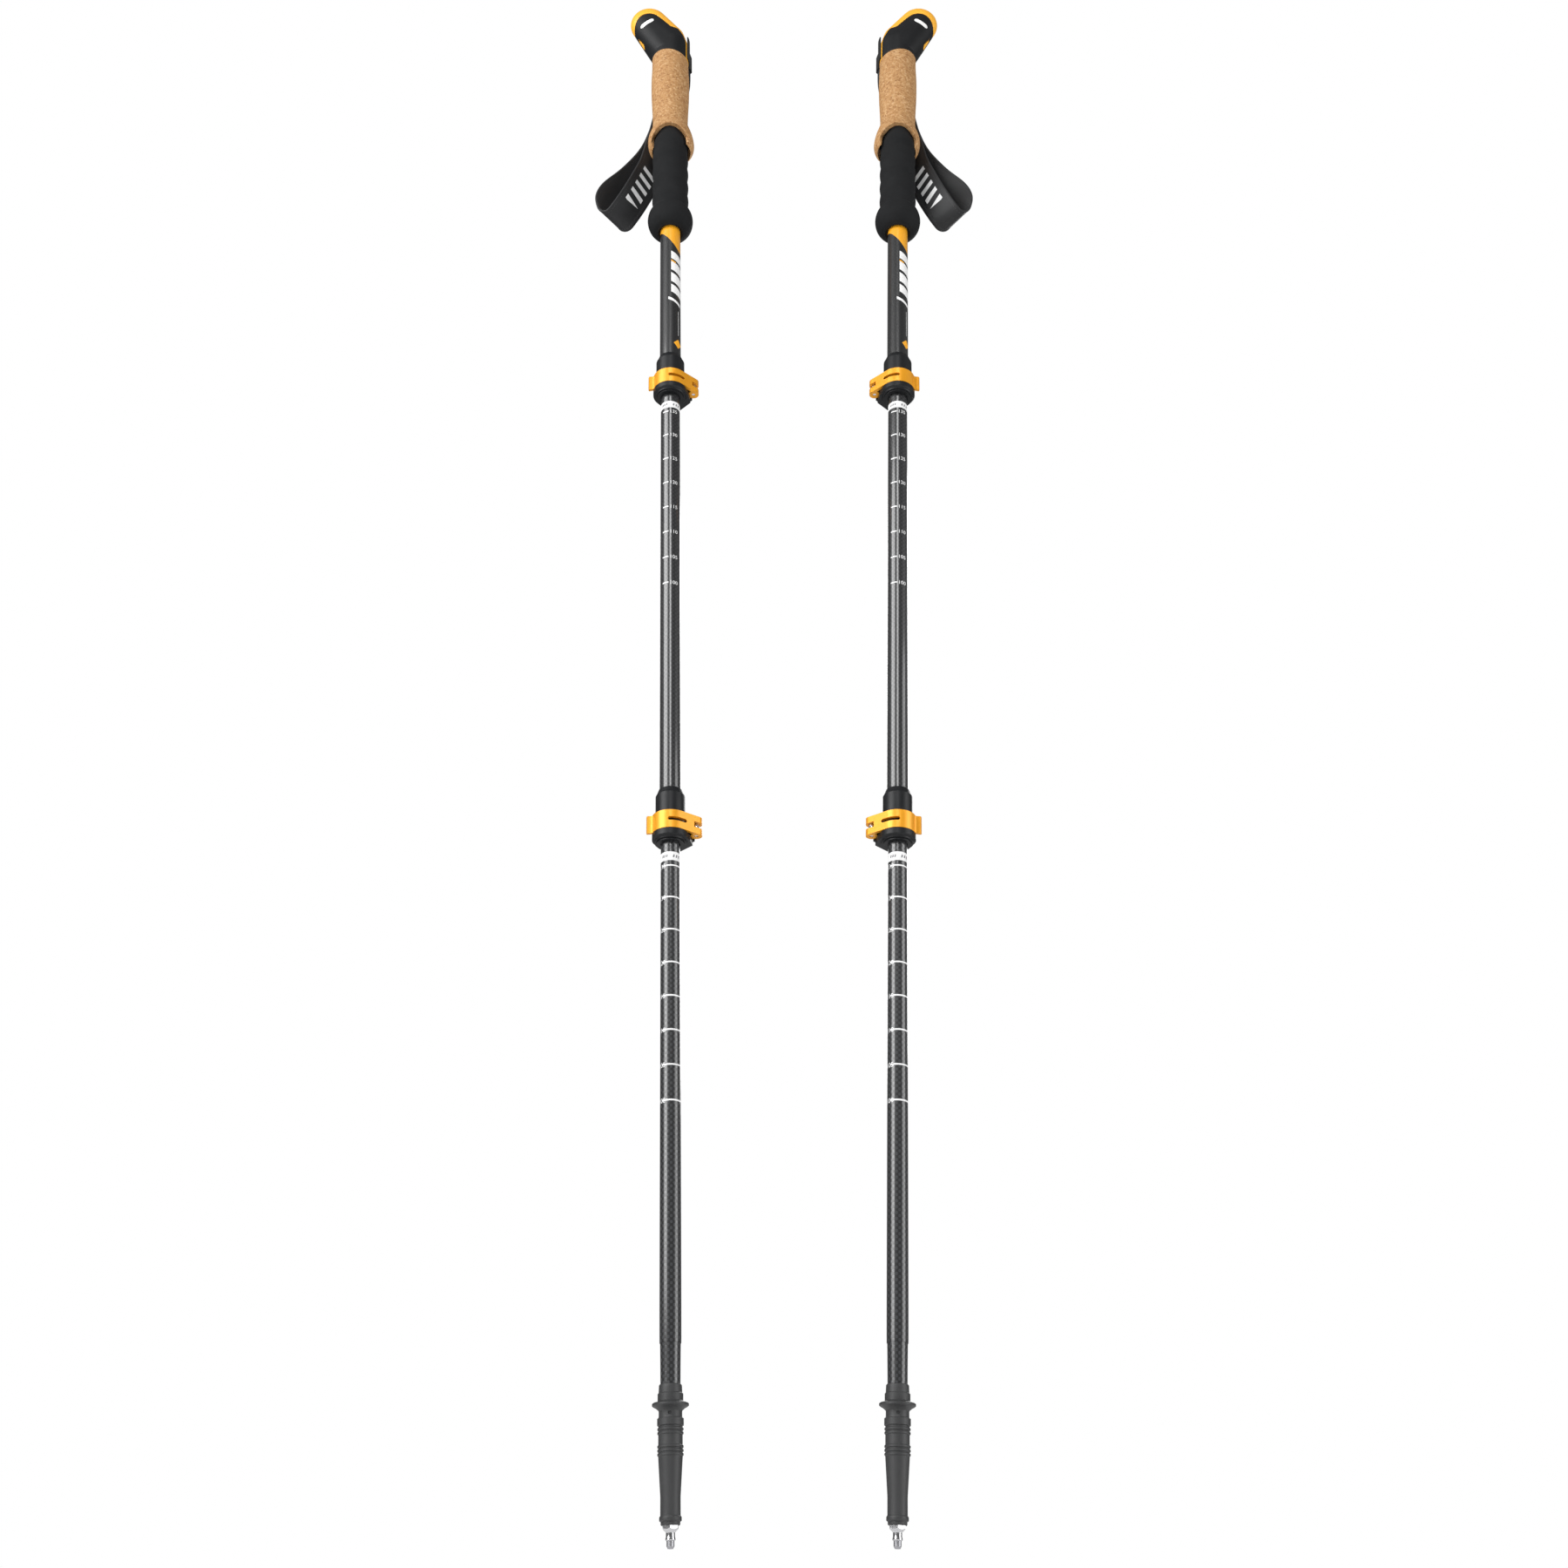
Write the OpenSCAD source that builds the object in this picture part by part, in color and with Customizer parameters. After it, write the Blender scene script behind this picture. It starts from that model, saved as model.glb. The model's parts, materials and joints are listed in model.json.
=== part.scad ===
/* [Pair] */
// Sideways lean of each pole, so that the handles stand further apart than the tips
pole_splay = 1.84; // [0:0.1:4]
// Distance of each tip from the middle of the pair
tip_offset = 68; // [60:1:120]

/* [Sections] */
// Full height of a pole with both sections pulled out
pole_len = 1390; // [1388:1:1400]
// Height of the lower lock's mouth above the tip
lower_lock_z = 470.5; // [440:0.5:500]
// Height of the upper lock's mouth above the tip
upper_lock_z = 893.5; // [880:0.5:910]
// Length of each inner section that stays inside the section above it
overlap = 84; // [60:1:100]

/* [Tubes] */
// Outside diameter of the upper tube
upper_od = 18; // [17.6:0.1:18.4]
// Outside diameter of the middle tube
mid_od = 16; // [15.8:0.1:16]
// Outside diameter of the lower tube
lower_od = 14; // [13.8:0.1:14]
// Wall of the carbon tubes
tube_wall = 0.7; // [0.6:0.05:0.7]
// Play between a tube and the tube inside it, on the radius
tube_gap = 0.3; // [0.3:0.05:0.4]

/* [Locks] */
// Height of the lever's band
band_h = 14.4; // [12:0.2:15]
// Thickness of the lever's band
band_t = 2.7; // [2:0.1:3]
// Diameter of the barrel that the tension screw threads into
barrel_d = 4.8; // [4.4:0.1:5.2]
// Diameter of the barrel's two thin journals, on which the lever turns
journal_d = 3; // [2.6:0.1:3.4]
// Diameter of the tension screw
screw_d = 2.4; // [2:0.1:2.6]

/* [Handle] */
// Diameter of the cork grip's palm swell
cork_d = 35.6; // [34:0.2:37]
// Diameter of the foam grip between its ribs
foam_d = 32.4; // [31:0.2:34]
// Diameter of the foam grip's end collar
foam_collar_d = 41; // [38:0.5:42]
// Height of the pale inlay on the head's cheeks
bar_h = 4.4; // [3:0.1:5]

/* [Strap] */
// Width of the wrist strap's webbing
strap_w = 28; // [22:1:30]
// Thickness of the webbing
strap_t = 2.2; // [1.6:0.1:2.4]

/* [Hidden] */

$fn = 64;
FINE = 96;
ORANGE = "#f2a81e";
BLACK = "#222426";
FOAM = "#26282a";
WEBBING = "#191a1b";
CARBON = "#2b2d30";
CORK = "#cda069";
INLAY = "#e9e7e0";
STEEL = "#b9bcc0";
CARBIDE = "#8d8f93";

LEFT = -1;
RIGHT = 1;
// The poles' axes lie a little in front of the origin, so that the pair is centred front to back
axis_y = -1.7;

// Handle stations, measured up the pole
head_z = pole_len - 64;
cork_z = head_z - 126;
foam_z = cork_z - 112;
tube_top_z = head_z + 10;

// Ferrule stations
ferrule_z0 = 13;
ferrule_z1 = 94;
tube_seat_z = 60;
taper_z = 157;
taper_r = 6.3;
cone_bottom_r = 6.2;
land_r = 8.25;
stem_r = 4;
bit_r = 2.4;
bit_z1 = 14;

// Lock layout about the pole: the ears point to ear_dir, and the barrel pin stands beside them
ear_dir = 45;
barrel_q = 10.6;
barrel_reach = 8;
knuckle_r = 4.4;
run_fit = 0.05;
flange_h = 7.9;
band_z = flange_h + 0.4;
lock_h = 44.5;
sleeve_z = 23.5;
sleeve_h = 15.6;
slit_w = 1.2;
notch_h = 4.4;
ear_q = 5.9;
nut_r = 4;
nut_h = 3.4;

upper_r = upper_od / 2;
mid_r = mid_od / 2;
lower_r = lower_od / 2;

// Points on a smooth curve through a list of [r, z] stations, n steps a span
function bend(a, b, c, d, t) =
    0.5 * (2 * b + (c - a) * t + (2 * a - 5 * b + 4 * c - d) * t * t + (3 * b - a - 3 * c + d) * t * t * t);
function smooth(p, n) = [
    for (i = [0 : len(p) - 2], k = [0 : n - 1])
        bend(p[max(i - 1, 0)], p[i], p[i + 1], p[min(i + 2, len(p) - 1)], k / n),
    p[len(p) - 1]
];
function arc(r, a0, a1, n) = [
    for (k = [0 : n]) let (a = a0 + (a1 - a0) * k / n) r * [cos(a), sin(a)]
];

// One pole stands at each side; the right one is the left one's mirror image
module pole(side) {
    translate([side * tip_offset, axis_y, 0]) rotate([0, side * pole_splay, 0])
        if (side == RIGHT) mirror([1, 0, 0]) children();
        else children();
}

module ring(r_out, r_in, z0, z1) {
    translate([0, 0, z0]) difference() {
        cylinder(r = r_out, h = z1 - z0);
        translate([0, 0, -1]) cylinder(r = r_in, h = z1 - z0 + 2);
    }
}

/* ---- tubes ---- */

module upper_tube() {
    color(CARBON) ring(upper_r, upper_r - tube_wall, upper_lock_z + 6, tube_top_z);
}

module mid_tube() {
    color(CARBON) ring(mid_r, mid_r - tube_wall, lower_lock_z + 6, upper_lock_z + overlap);
}

module lower_tube() {
    top_z = lower_lock_z + overlap;
    color(CARBON) rotate_extrude() polygon([
        [taper_r, tube_seat_z], [taper_r, ferrule_z1], [lower_r, taper_z], [lower_r, top_z],
        [lower_r - tube_wall, top_z], [lower_r - tube_wall, taper_z],
        [taper_r - tube_wall, ferrule_z1], [taper_r - tube_wall, tube_seat_z],
    ]);
}

// Plastic guide in the top end of an inner tube: a stem in the tube, and a head that runs in the next
// tube's bore
module bush(tube_r, top_z) {
    stem_h = 18;
    head_h = 9;
    hole_r = 3;
    head_r = tube_r + tube_gap - run_fit;
    color(BLACK) difference() {
        union() {
            translate([0, 0, top_z - stem_h]) cylinder(r = tube_r - tube_wall, h = stem_h);
            translate([0, 0, top_z]) cylinder(r = head_r, h = head_h - 1);
            translate([0, 0, top_z + head_h - 1]) cylinder(r1 = head_r, r2 = head_r - 1, h = 1);
        }
        translate([0, 0, top_z - stem_h - 1]) cylinder(r = hole_r, h = stem_h + head_h + 2);
    }
}

/* ---- tip ---- */

module ferrule() {
    rib_r = 8.1;
    neck_r = 7.55;
    flange_r = 11.5;
    pitch = 2.3;
    window_r = 1.1;
    stem_hole_h = 22;
    // a round-crested rib between two stations
    function rib(z) = [[neck_r, z], [rib_r, z + 0.4], [rib_r, z + 1.4], [neck_r, z + 1.9]];
    color(BLACK) difference() {
        rotate_extrude() polygon(concat(
            [[0, ferrule_z0], [5.6, ferrule_z0], [5.95, ferrule_z0 + 0.5], [5.95, 15]],
            [[6.6, 15.3], [6.85, 15.8], [6.85, 17.4], [6.6, 18], [cone_bottom_r, 18.4], [cone_bottom_r, 29]],
            [[7.55, 51.5]],
            rib(52), rib(52 + pitch), rib(52 + 2 * pitch),
            rib(64.4), rib(64.4 + pitch),
            [[neck_r, 69.4], [land_r, 69.8], [land_r, 73.8], [neck_r, 74.2]],
            [[7.3, 75], [7.3, 78], [neck_r, 78.6], [9.2, 80], [10.9, 80.9], [flange_r, 81.4]],
            [[flange_r, 82.5], [10.9, 83], [8.6, 83.6], [8, 84.2], [8, 88.4], [7.4, 89]],
            [[7.2, 93.4], [6.8, ferrule_z1], [0, ferrule_z1]]
        ));
        translate([0, 0, ferrule_z0 - 1]) cylinder(r = stem_r, h = stem_hole_h);
        translate([0, 0, tube_seat_z]) cylinder(r = taper_r, h = ferrule_z1 - tube_seat_z + 1);
        // small moulded window in the neck under the flange
        translate([0, -10, 76.6]) rotate([-90, 0, 0]) cylinder(r = window_r, h = 3.4);
    }
}

module tip_holder() {
    flat = 4.6;
    stem_h = 20;
    color(STEEL) difference() {
        rotate_extrude() polygon([
            [0, 4.6], [2.9, 4.6], [3.1, 5.2], [2.75, 7], [2.75, 9], [5.3, 11.6], [5.6, ferrule_z0],
            [stem_r, ferrule_z0], [stem_r, ferrule_z0 + stem_h], [0, ferrule_z0 + stem_h],
        ]);
        translate([0, 0, 4]) cylinder(r = bit_r, h = bit_z1 - 4);
        // six spanner flats
        for (a = [0 : 60 : 300]) rotate([0, 0, a]) translate([flat, -5, 4]) cube([5, 10, ferrule_z0 - 3]);
    }
}

module carbide_tip() {
    color(CARBIDE) rotate_extrude() polygon([
        [0, 1.2], [1.1, 0.1], [1.7, 0.1], [bit_r, 1.4], [bit_r, bit_z1], [0, bit_z1],
    ]);
}

/* ---- lever lock ---- */

// Turns a drawing so that its x runs out along the ears and its y towards the barrel pin
module ear_frame() { rotate([0, 0, ear_dir]) mirror([0, 1, 0]) children(); }

function barrel_xy(tube_r) = [
    (tube_r + barrel_reach) * cos(ear_dir) + barrel_q * sin(ear_dir),
    (tube_r + barrel_reach) * sin(ear_dir) - barrel_q * cos(ear_dir)
];
function band_in(tube_r) = tube_r + 2.7;
// Height of the screw's axis above the lock's mouth
screw_z = band_z + band_h / 2;
// Direction, seen from the pole's axis, at which the lever's arm leaves its band on the line to the pin
function tangent_at(tube_r) =
    let (c = barrel_xy(tube_r))
    atan2(c[1], c[0]) - acos((band_in(tube_r) + band_t - knuckle_r) / norm(c));

module clamp_body(tube_r, inner_r, z0) {
    flange_r = tube_r + 5.5;
    core_r = tube_r + 2.2;
    sleeve_r = tube_r + 3;
    sleeve_top = sleeve_z + sleeve_h;
    ear_end = tube_r + 8.8;
    plate_z = 2.9;
    color(BLACK) translate([0, 0, z0]) difference() {
        union() {
            cylinder(r = tube_r + 2.4, h = 2.4);
            translate([0, 0, 1.2]) cylinder(r1 = tube_r + 3.6, r2 = tube_r + 4, h = 1.3);
            translate([0, 0, 2.4]) cylinder(r1 = flange_r - 1.2, r2 = flange_r, h = 1.2);
            translate([0, 0, 3.6]) cylinder(r = flange_r, h = flange_h - 3.6);
            // plate that carries the ears
            ear_frame() translate([0, 0, plate_z]) linear_extrude(flange_h - plate_z - 0.5) polygon([
                [0, -flange_r + 1], [9, -flange_r + 2.2], [ear_end, -7.6],
                [ear_end, 5.8], [9, flange_r - 2.2], [0, flange_r - 1],
            ]);
            cylinder(r = core_r, h = sleeve_z + 1);
            ear_frame() translate([0, -ear_q, flange_h - 1]) cube([ear_end + 2, 2 * ear_q, band_h + 1.2]);
            translate([0, 0, sleeve_z]) cylinder(r = sleeve_r, h = sleeve_h);
            translate([0, 0, sleeve_top]) cylinder(r1 = sleeve_r, r2 = sleeve_r - 1, h = 2);
            translate([0, 0, sleeve_top + 2])
                cylinder(r1 = sleeve_r - 1, r2 = tube_r + 0.8, h = lock_h - sleeve_top - 2);
        }
        translate([0, 0, 6]) cylinder(r = tube_r, h = lock_h);
        translate([0, 0, -1]) cylinder(r = inner_r + tube_gap, h = 8);
        ear_frame() translate([0, -slit_w / 2, flange_h + 0.3])
            cube([ear_end + 4, slit_w, sleeve_z - flange_h - 0.8]);
        ear_frame() translate([tube_r + barrel_reach, 0, screw_z]) rotate([90, 0, 0])
            cylinder(r = screw_d / 2, h = 4 * ear_q, center = true);
    }
}

module lever(tube_r, z0) {
    r_in = band_in(tube_r);
    r_out = r_in + band_t;
    c = barrel_xy(tube_r);
    a_arm = tangent_at(tube_r);
    out = [cos(a_arm), sin(a_arm)];
    along = [-sin(a_arm), cos(a_arm)];
    lap = 0.8;
    a_lip = -163;
    lip_inset = 0.2;
    window_x = [0.4, 11];
    window_r = 1.5;
    window_box = [window_x[1] - window_x[0], 20, 2 * window_r];
    color(ORANGE) translate([0, 0, z0]) union() {
        difference() {
            translate([0, 0, band_z]) linear_extrude(band_h) {
                difference() {
                    circle(r = r_out, $fn = FINE);
                    circle(r = r_in, $fn = FINE);
                    // the band is a front arc only
                    polygon(concat([[0, 0]], arc(2 * r_out, a_arm, a_lip + 360, 12)));
                }
                // straight arm on to the barrel pin
                polygon([
                    r_in * out - lap * along, r_out * out - lap * along,
                    c + knuckle_r * out, c + (knuckle_r - band_t) * out,
                ]);
                translate(c) circle(r = knuckle_r);
            }
            translate([c[0], c[1], 0]) cylinder(r = journal_d / 2 + run_fit, h = sleeve_z + 4);
            // notch between the fork's two knuckles, for the screw
            translate([c[0], c[1], screw_z - notch_h / 2]) rotate([0, 0, a_arm]) translate([-12, -5, 0])
                cube([24, 20, notch_h]);
            // round-ended window in the band's front
            for (x = window_x) translate([x, -3, screw_z]) rotate([90, 0, 0])
                cylinder(r = window_r, h = 20);
            translate([window_x[0], -23, screw_z - window_r]) cube(window_box);
        }
        // finger lip that turns outward at the free end
        translate([0, 0, band_z + lip_inset]) rotate([0, 0, a_lip])
            linear_extrude(band_h - 2 * lip_inset) polygon([
                [r_in + 0.4, 1], [r_out - 0.3, 1], [r_out + 0.8, -0.6], [r_out + 3.6, -1.6],
                [r_out + 3.9, -3.4], [r_out + 3, -4.2], [r_out, -2.6], [r_in + 0.3, -1.2],
            ]);
    }
}

module barrel_pin(tube_r, z0) {
    c = barrel_xy(tube_r);
    journal_h = band_h - 0.8;
    color(STEEL) translate([0, 0, z0 + screw_z]) difference() {
        translate([c[0], c[1], 0]) union() {
            cylinder(r = barrel_d / 2, h = notch_h - 0.4, center = true);
            cylinder(r = journal_d / 2, h = journal_h, center = true);
        }
        ear_frame() translate([tube_r + barrel_reach, 0, 0]) rotate([-90, 0, 0])
            cylinder(r = screw_d / 2, h = barrel_q + 10);
    }
}

module tension_screw(tube_r, z0) {
    tail = 0.8;
    start_q = -ear_q - nut_h - tail;
    color(STEEL) translate([0, 0, z0 + screw_z]) ear_frame() translate([tube_r + barrel_reach, start_q, 0])
        rotate([-90, 0, 0]) cylinder(r = screw_d / 2, h = barrel_q + 1.2 - start_q);
}

module thumb_nut(tube_r, z0) {
    flute_r = 0.8;
    color(BLACK) translate([0, 0, z0 + screw_z]) ear_frame() translate([tube_r + barrel_reach, -ear_q, 0])
        rotate([90, 0, 0]) difference() {
            cylinder(r = nut_r, h = nut_h);
            translate([0, 0, -1]) cylinder(r = screw_d / 2, h = nut_h + 2);
            // finger flutes
            for (a = [0 : 30 : 330]) rotate([0, 0, a]) translate([nut_r + 0.35, 0, -1])
                cylinder(r = flute_r, h = nut_h + 2, $fn = 24);
        }
}

/* ---- grips ---- */

arch_z = -8;
arch_r = 18.5;
// Round-topped cut across the pole, where the cork's foot sits over the foam
module arch() {
    translate([0, 0, cork_z + arch_z]) rotate([90, 0, 0])
        cylinder(r = arch_r, h = 120, center = true, $fn = FINE);
}

module foam_grip() {
    neck_z = foam_z + 31;
    collar_r = foam_collar_d / 2;
    body_r = foam_d / 2;
    rib_pitch = 17.5;
    rib_rise = 0.38;
    collar = smooth([
        [11.4, foam_z], [15.6, foam_z + 2.2], [19.2, foam_z + 7.6], [collar_r, foam_z + 15],
        [19.2, foam_z + 22], [body_r + 0.2, foam_z + 27], [body_r - 0.5, neck_z],
    ], 4);
    ribs = [
        for (z = [neck_z + 2 : rib_pitch / 5 : cork_z + 4])
            [body_r - rib_rise * cos(360 * (z - neck_z) / rib_pitch), z]
    ];
    color(FOAM) intersection() {
        rotate_extrude($fn = FINE) polygon(concat(
            [[upper_r, foam_z + 2], [10.2, foam_z + 0.6]], collar, ribs,
            [[body_r, cork_z + 8], [body_r, cork_z + 30], [upper_r, cork_z + 30]]
        ));
        // the upper end is an arch, highest at the front and back
        union() {
            translate([-60, -60, foam_z - 5]) cube([120, 120, cork_z + arch_z + 5 - foam_z]);
            arch();
        }
    }
}

module cork_grip() {
    swell_r = cork_d / 2;
    body = smooth([
        [17.2, cork_z - 8], [19.6, cork_z - 4], [20.8, cork_z + 3], [20.2, cork_z + 10],
        [17.6, cork_z + 19], [16.5, cork_z + 29], [16.9, cork_z + 44], [swell_r, cork_z + 66],
        [swell_r + 0.2, cork_z + 88], [swell_r - 0.4, cork_z + 108], [head_r, head_z], [head_r, head_z + 6],
    ], 4);
    heel = smooth([
        [17, cork_z - 9], [19.9, cork_z - 4], [20.6, cork_z + 2], [18.8, cork_z + 13], [15.6, cork_z + 24],
    ], 4);
    color(CORK) difference() {
        union() {
            rotate_extrude($fn = FINE)
                polygon(concat([[upper_r, cork_z - 8]], body, [[upper_r, head_z + 6]]));
            // the heel swells out further at the back of the hand
            translate([1.6, 0, 0]) rotate_extrude($fn = FINE)
                polygon(concat([[12, cork_z - 9]], heel, [[12, cork_z + 24]]));
        }
        translate([0, 0, cork_z - 20]) cylinder(r = upper_r, h = 160);
        translate([0, 0, cork_z - 30]) cylinder(r = foam_d / 2 + 0.1, h = 30 + arch_z);
        arch();
        above_joint();
    }
}

/* ---- head ---- */

nose_at = [-20.3, 0, head_z + 45.4];
nose_r = 18.6;
nose_narrow = 0.76;
head_r = 17.6;

// Everything above the slanted joint between cork and head, which falls toward the tail
joint_z = -10;
joint_lean = 8;
module above_joint() {
    translate([0, 0, head_z + joint_z]) rotate([0, joint_lean, 0]) translate([-80, -80, 0]) cube(160);
}

// The whole head: a round nose that leans out over the fingers, on a round base
module head_form() {
    throat_z = -4;
    step = 0.2;
    intersection() {
        union() {
            hull() {
                translate(nose_at) scale([1, nose_narrow, 1]) sphere(r = nose_r, $fn = 64);
                translate([-14.2, 0, head_z + 15]) scale([1, 1.2, 1]) sphere(r = 9.4, $fn = 32);
                translate([3.6, 0, head_z + 24]) scale([1, 1.2, 1]) sphere(r = 10.6, $fn = 40);
                translate([0, 0, head_z + throat_z]) cylinder(r = head_r, h = 12 - throat_z, $fn = 72);
            }
            translate([0, 0, head_z - 20]) cylinder(r = head_r - step, h = 21 + throat_z);
        }
        above_joint();
    }
}

// Side cheek outline, drawn in the plane through nose and tail
module cheek() {
    rotate([90, 0, 0]) linear_extrude(60, center = true) translate([0, head_z]) union() {
        translate([nose_at[0] + 0.7, 34]) circle(r = 12.9);
        polygon([
            [-31.6, 31], [-28.6, 24.6], [-24.6, 13], [-24.6, -24], [15.4, -24], [15.4, 9],
            [13.6, 18], [8, 27.4], [1.3, 27], [-10.4, 42.4], [-20, 44],
        ]);
    }
}

// Slanted bar shape across the head, for the pale inlay that shows on both cheeks
module slant_bar(half_y) {
    bar_len = 14;
    translate([-21.9, 0, head_z + 33]) rotate([0, -26, 0]) {
        cube([bar_len - bar_h, 2 * half_y, bar_h], center = true);
        for (s = [-1, 1]) translate([s * (bar_len - bar_h) / 2, 0, 0]) rotate([90, 0, 0])
            cylinder(r = bar_h / 2, h = 2 * half_y, center = true, $fn = 32);
    }
}

// Pocket at the back of the head that the strap runs up into
pocket_dir = 75;
pocket_d = 13.4;
pocket_top = 19.2;
module pocket(z0, z1, grow) {
    rotate([0, 0, pocket_dir]) translate([pocket_d - grow, -strap_w / 2 - 1 - grow, head_z + z0])
        cube([14 + 2 * grow, strap_w + 2 + 2 * grow, z1 - z0]);
}

module tube_socket() { translate([0, 0, head_z - 30]) cylinder(r = upper_r + 0.2, h = 40.4); }

module head_cap() {
    color(ORANGE) difference() {
        head_form();
        cheek();
        tube_socket();
        pocket(-30, pocket_top, 0.2);
    }
}

module head_shell() {
    color(BLACK) difference() {
        intersection() {
            head_form();
            cheek();
        }
        tube_socket();
        slant_bar(30);
        pocket(-30, pocket_top, 0.2);
    }
}

// Thin tab that covers the joint of head and cork at the tail
module tail_tab() {
    color(BLACK) intersection() {
        ring(head_r + 1.5, head_r + 0.5, head_z - 11, head_z + 19);
        translate([0, -7, head_z - 20]) cube([30, 14, 60]);
    }
}

module head_inlay() {
    sunk = 0.985;
    color(INLAY) intersection() {
        slant_bar(30);
        scale([1, sunk, 1]) head_form();
    }
}

module strap_wedge() {
    color(BLACK) intersection() {
        difference() {
            pocket(-2, pocket_top - 0.4, 0);
            // the webbing's two ends pass through it
            rotate([0, 0, pocket_dir]) translate([15.5, -strap_w / 2 - 0.4, head_z - 12])
                cube([6.9, strap_w + 0.8, 28]);
        }
        translate([0, 0, head_z - 15]) cylinder(r = 26.6, h = 40);
    }
}

/* ---- wrist strap ---- */

// Stations of the webbing's middle line: height above the cork's foot, direction round the pole, distance
// out from its axis, shift along the webbing's width, and the tilt of its width
strap_in = [
    [141, 75, 16.9, 0, 0], [125, 75, 17, 0, 0], [106, 80, 20.4, 0, 0], [84, 92, 20.6, 0, 6],
    [50, 110, 20.9, 1, 14], [16, 126, 23.4, 0, 20], [-10, 128, 23.6, -5, 20], [-36, 128, 23.6, -14, 20],
    [-60, 128, 24.2, -23, 20],
];
strap_turn = [[-78, 128, 29, -30, 20], [-85, 129, 37, -33, 20], [-80, 132, 45.6, -35, 20]];
strap_out = [
    [-64, 136, 50, -34, 20], [-42, 137, 50, -25, 20], [-16, 133, 40.4, -12, 20],
    [10, 128, 28.4, -2, 20], [46, 111, 24.2, 1, 14], [84, 92, 23.8, 0, 6], [106, 80, 23.6, 0, 0],
    [125, 75, 20.2, 0, 0], [141, 75, 20.1, 0, 0],
];
strap_line = smooth(concat(strap_in, strap_turn, strap_out), 3);

function strap_at(s) = [
    s[2] * cos(s[1]) + s[3] * sin(s[1]), s[2] * sin(s[1]) - s[3] * cos(s[1]), cork_z + s[0]
];
function strap_across(s) = [sin(s[1]) * cos(s[4]), -cos(s[1]) * cos(s[4]), -sin(s[4])];

module strap() {
    n = len(strap_line);
    function along(i) = strap_at(strap_line[min(i + 1, n - 1)]) - strap_at(strap_line[max(i - 1, 0)]);
    function across(i) = strap_across(strap_line[i]);
    function face(i) = let (f = cross(along(i), across(i))) f / norm(f);
    points = [
        for (i = [0 : n - 1], k = [[-1, -1], [1, -1], [1, 1], [-1, 1]])
            strap_at(strap_line[i]) + k[0] * strap_w / 2 * across(i) + k[1] * strap_t / 2 * face(i)
    ];
    faces = concat(
        [[0, 1, 2], [0, 2, 3]],
        [for (i = [0 : n - 2], k = [0 : 3]) [4 * i + k, 4 * i + 4 + k, 4 * i + 4 + (k + 1) % 4]],
        [for (i = [0 : n - 2], k = [0 : 3]) [4 * i + k, 4 * i + 4 + (k + 1) % 4, 4 * i + (k + 1) % 4]],
        [[4 * n - 4, 4 * n - 2, 4 * n - 3], [4 * n - 4, 4 * n - 1, 4 * n - 2]]
    );
    color(WEBBING) polyhedron(points, faces);
}

pole(LEFT) upper_tube();  // left_upper_tube
pole(LEFT) head_cap();  // left_head_cap
pole(LEFT) head_shell();  // left_head_shell
pole(LEFT) head_inlay();  // left_head_inlay
pole(LEFT) tail_tab();  // left_tail_tab
pole(LEFT) strap_wedge();  // left_strap_wedge
pole(LEFT) strap();  // left_strap
pole(LEFT) cork_grip();  // left_cork_grip
pole(LEFT) foam_grip();  // left_foam_grip
pole(LEFT) clamp_body(upper_r, mid_r, upper_lock_z);  // left_upper_clamp
pole(LEFT) lever(upper_r, upper_lock_z);  // left_upper_lever
pole(LEFT) barrel_pin(upper_r, upper_lock_z);  // left_upper_barrel_pin
pole(LEFT) tension_screw(upper_r, upper_lock_z);  // left_upper_screw
pole(LEFT) thumb_nut(upper_r, upper_lock_z);  // left_upper_nut
pole(LEFT) mid_tube();  // left_mid_tube
pole(LEFT) bush(mid_r, upper_lock_z + overlap);  // left_mid_bush
pole(LEFT) clamp_body(mid_r, lower_r, lower_lock_z);  // left_lower_clamp
pole(LEFT) lever(mid_r, lower_lock_z);  // left_lower_lever
pole(LEFT) barrel_pin(mid_r, lower_lock_z);  // left_lower_barrel_pin
pole(LEFT) tension_screw(mid_r, lower_lock_z);  // left_lower_screw
pole(LEFT) thumb_nut(mid_r, lower_lock_z);  // left_lower_nut
pole(LEFT) lower_tube();  // left_lower_tube
pole(LEFT) bush(lower_r, lower_lock_z + overlap);  // left_lower_bush
pole(LEFT) ferrule();  // left_ferrule
pole(LEFT) tip_holder();  // left_tip_holder
pole(LEFT) carbide_tip();  // left_carbide_tip
pole(RIGHT) upper_tube();  // right_upper_tube
pole(RIGHT) head_cap();  // right_head_cap
pole(RIGHT) head_shell();  // right_head_shell
pole(RIGHT) head_inlay();  // right_head_inlay
pole(RIGHT) tail_tab();  // right_tail_tab
pole(RIGHT) strap_wedge();  // right_strap_wedge
pole(RIGHT) strap();  // right_strap
pole(RIGHT) cork_grip();  // right_cork_grip
pole(RIGHT) foam_grip();  // right_foam_grip
pole(RIGHT) clamp_body(upper_r, mid_r, upper_lock_z);  // right_upper_clamp
pole(RIGHT) lever(upper_r, upper_lock_z);  // right_upper_lever
pole(RIGHT) barrel_pin(upper_r, upper_lock_z);  // right_upper_barrel_pin
pole(RIGHT) tension_screw(upper_r, upper_lock_z);  // right_upper_screw
pole(RIGHT) thumb_nut(upper_r, upper_lock_z);  // right_upper_nut
pole(RIGHT) mid_tube();  // right_mid_tube
pole(RIGHT) bush(mid_r, upper_lock_z + overlap);  // right_mid_bush
pole(RIGHT) clamp_body(mid_r, lower_r, lower_lock_z);  // right_lower_clamp
pole(RIGHT) lever(mid_r, lower_lock_z);  // right_lower_lever
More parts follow.
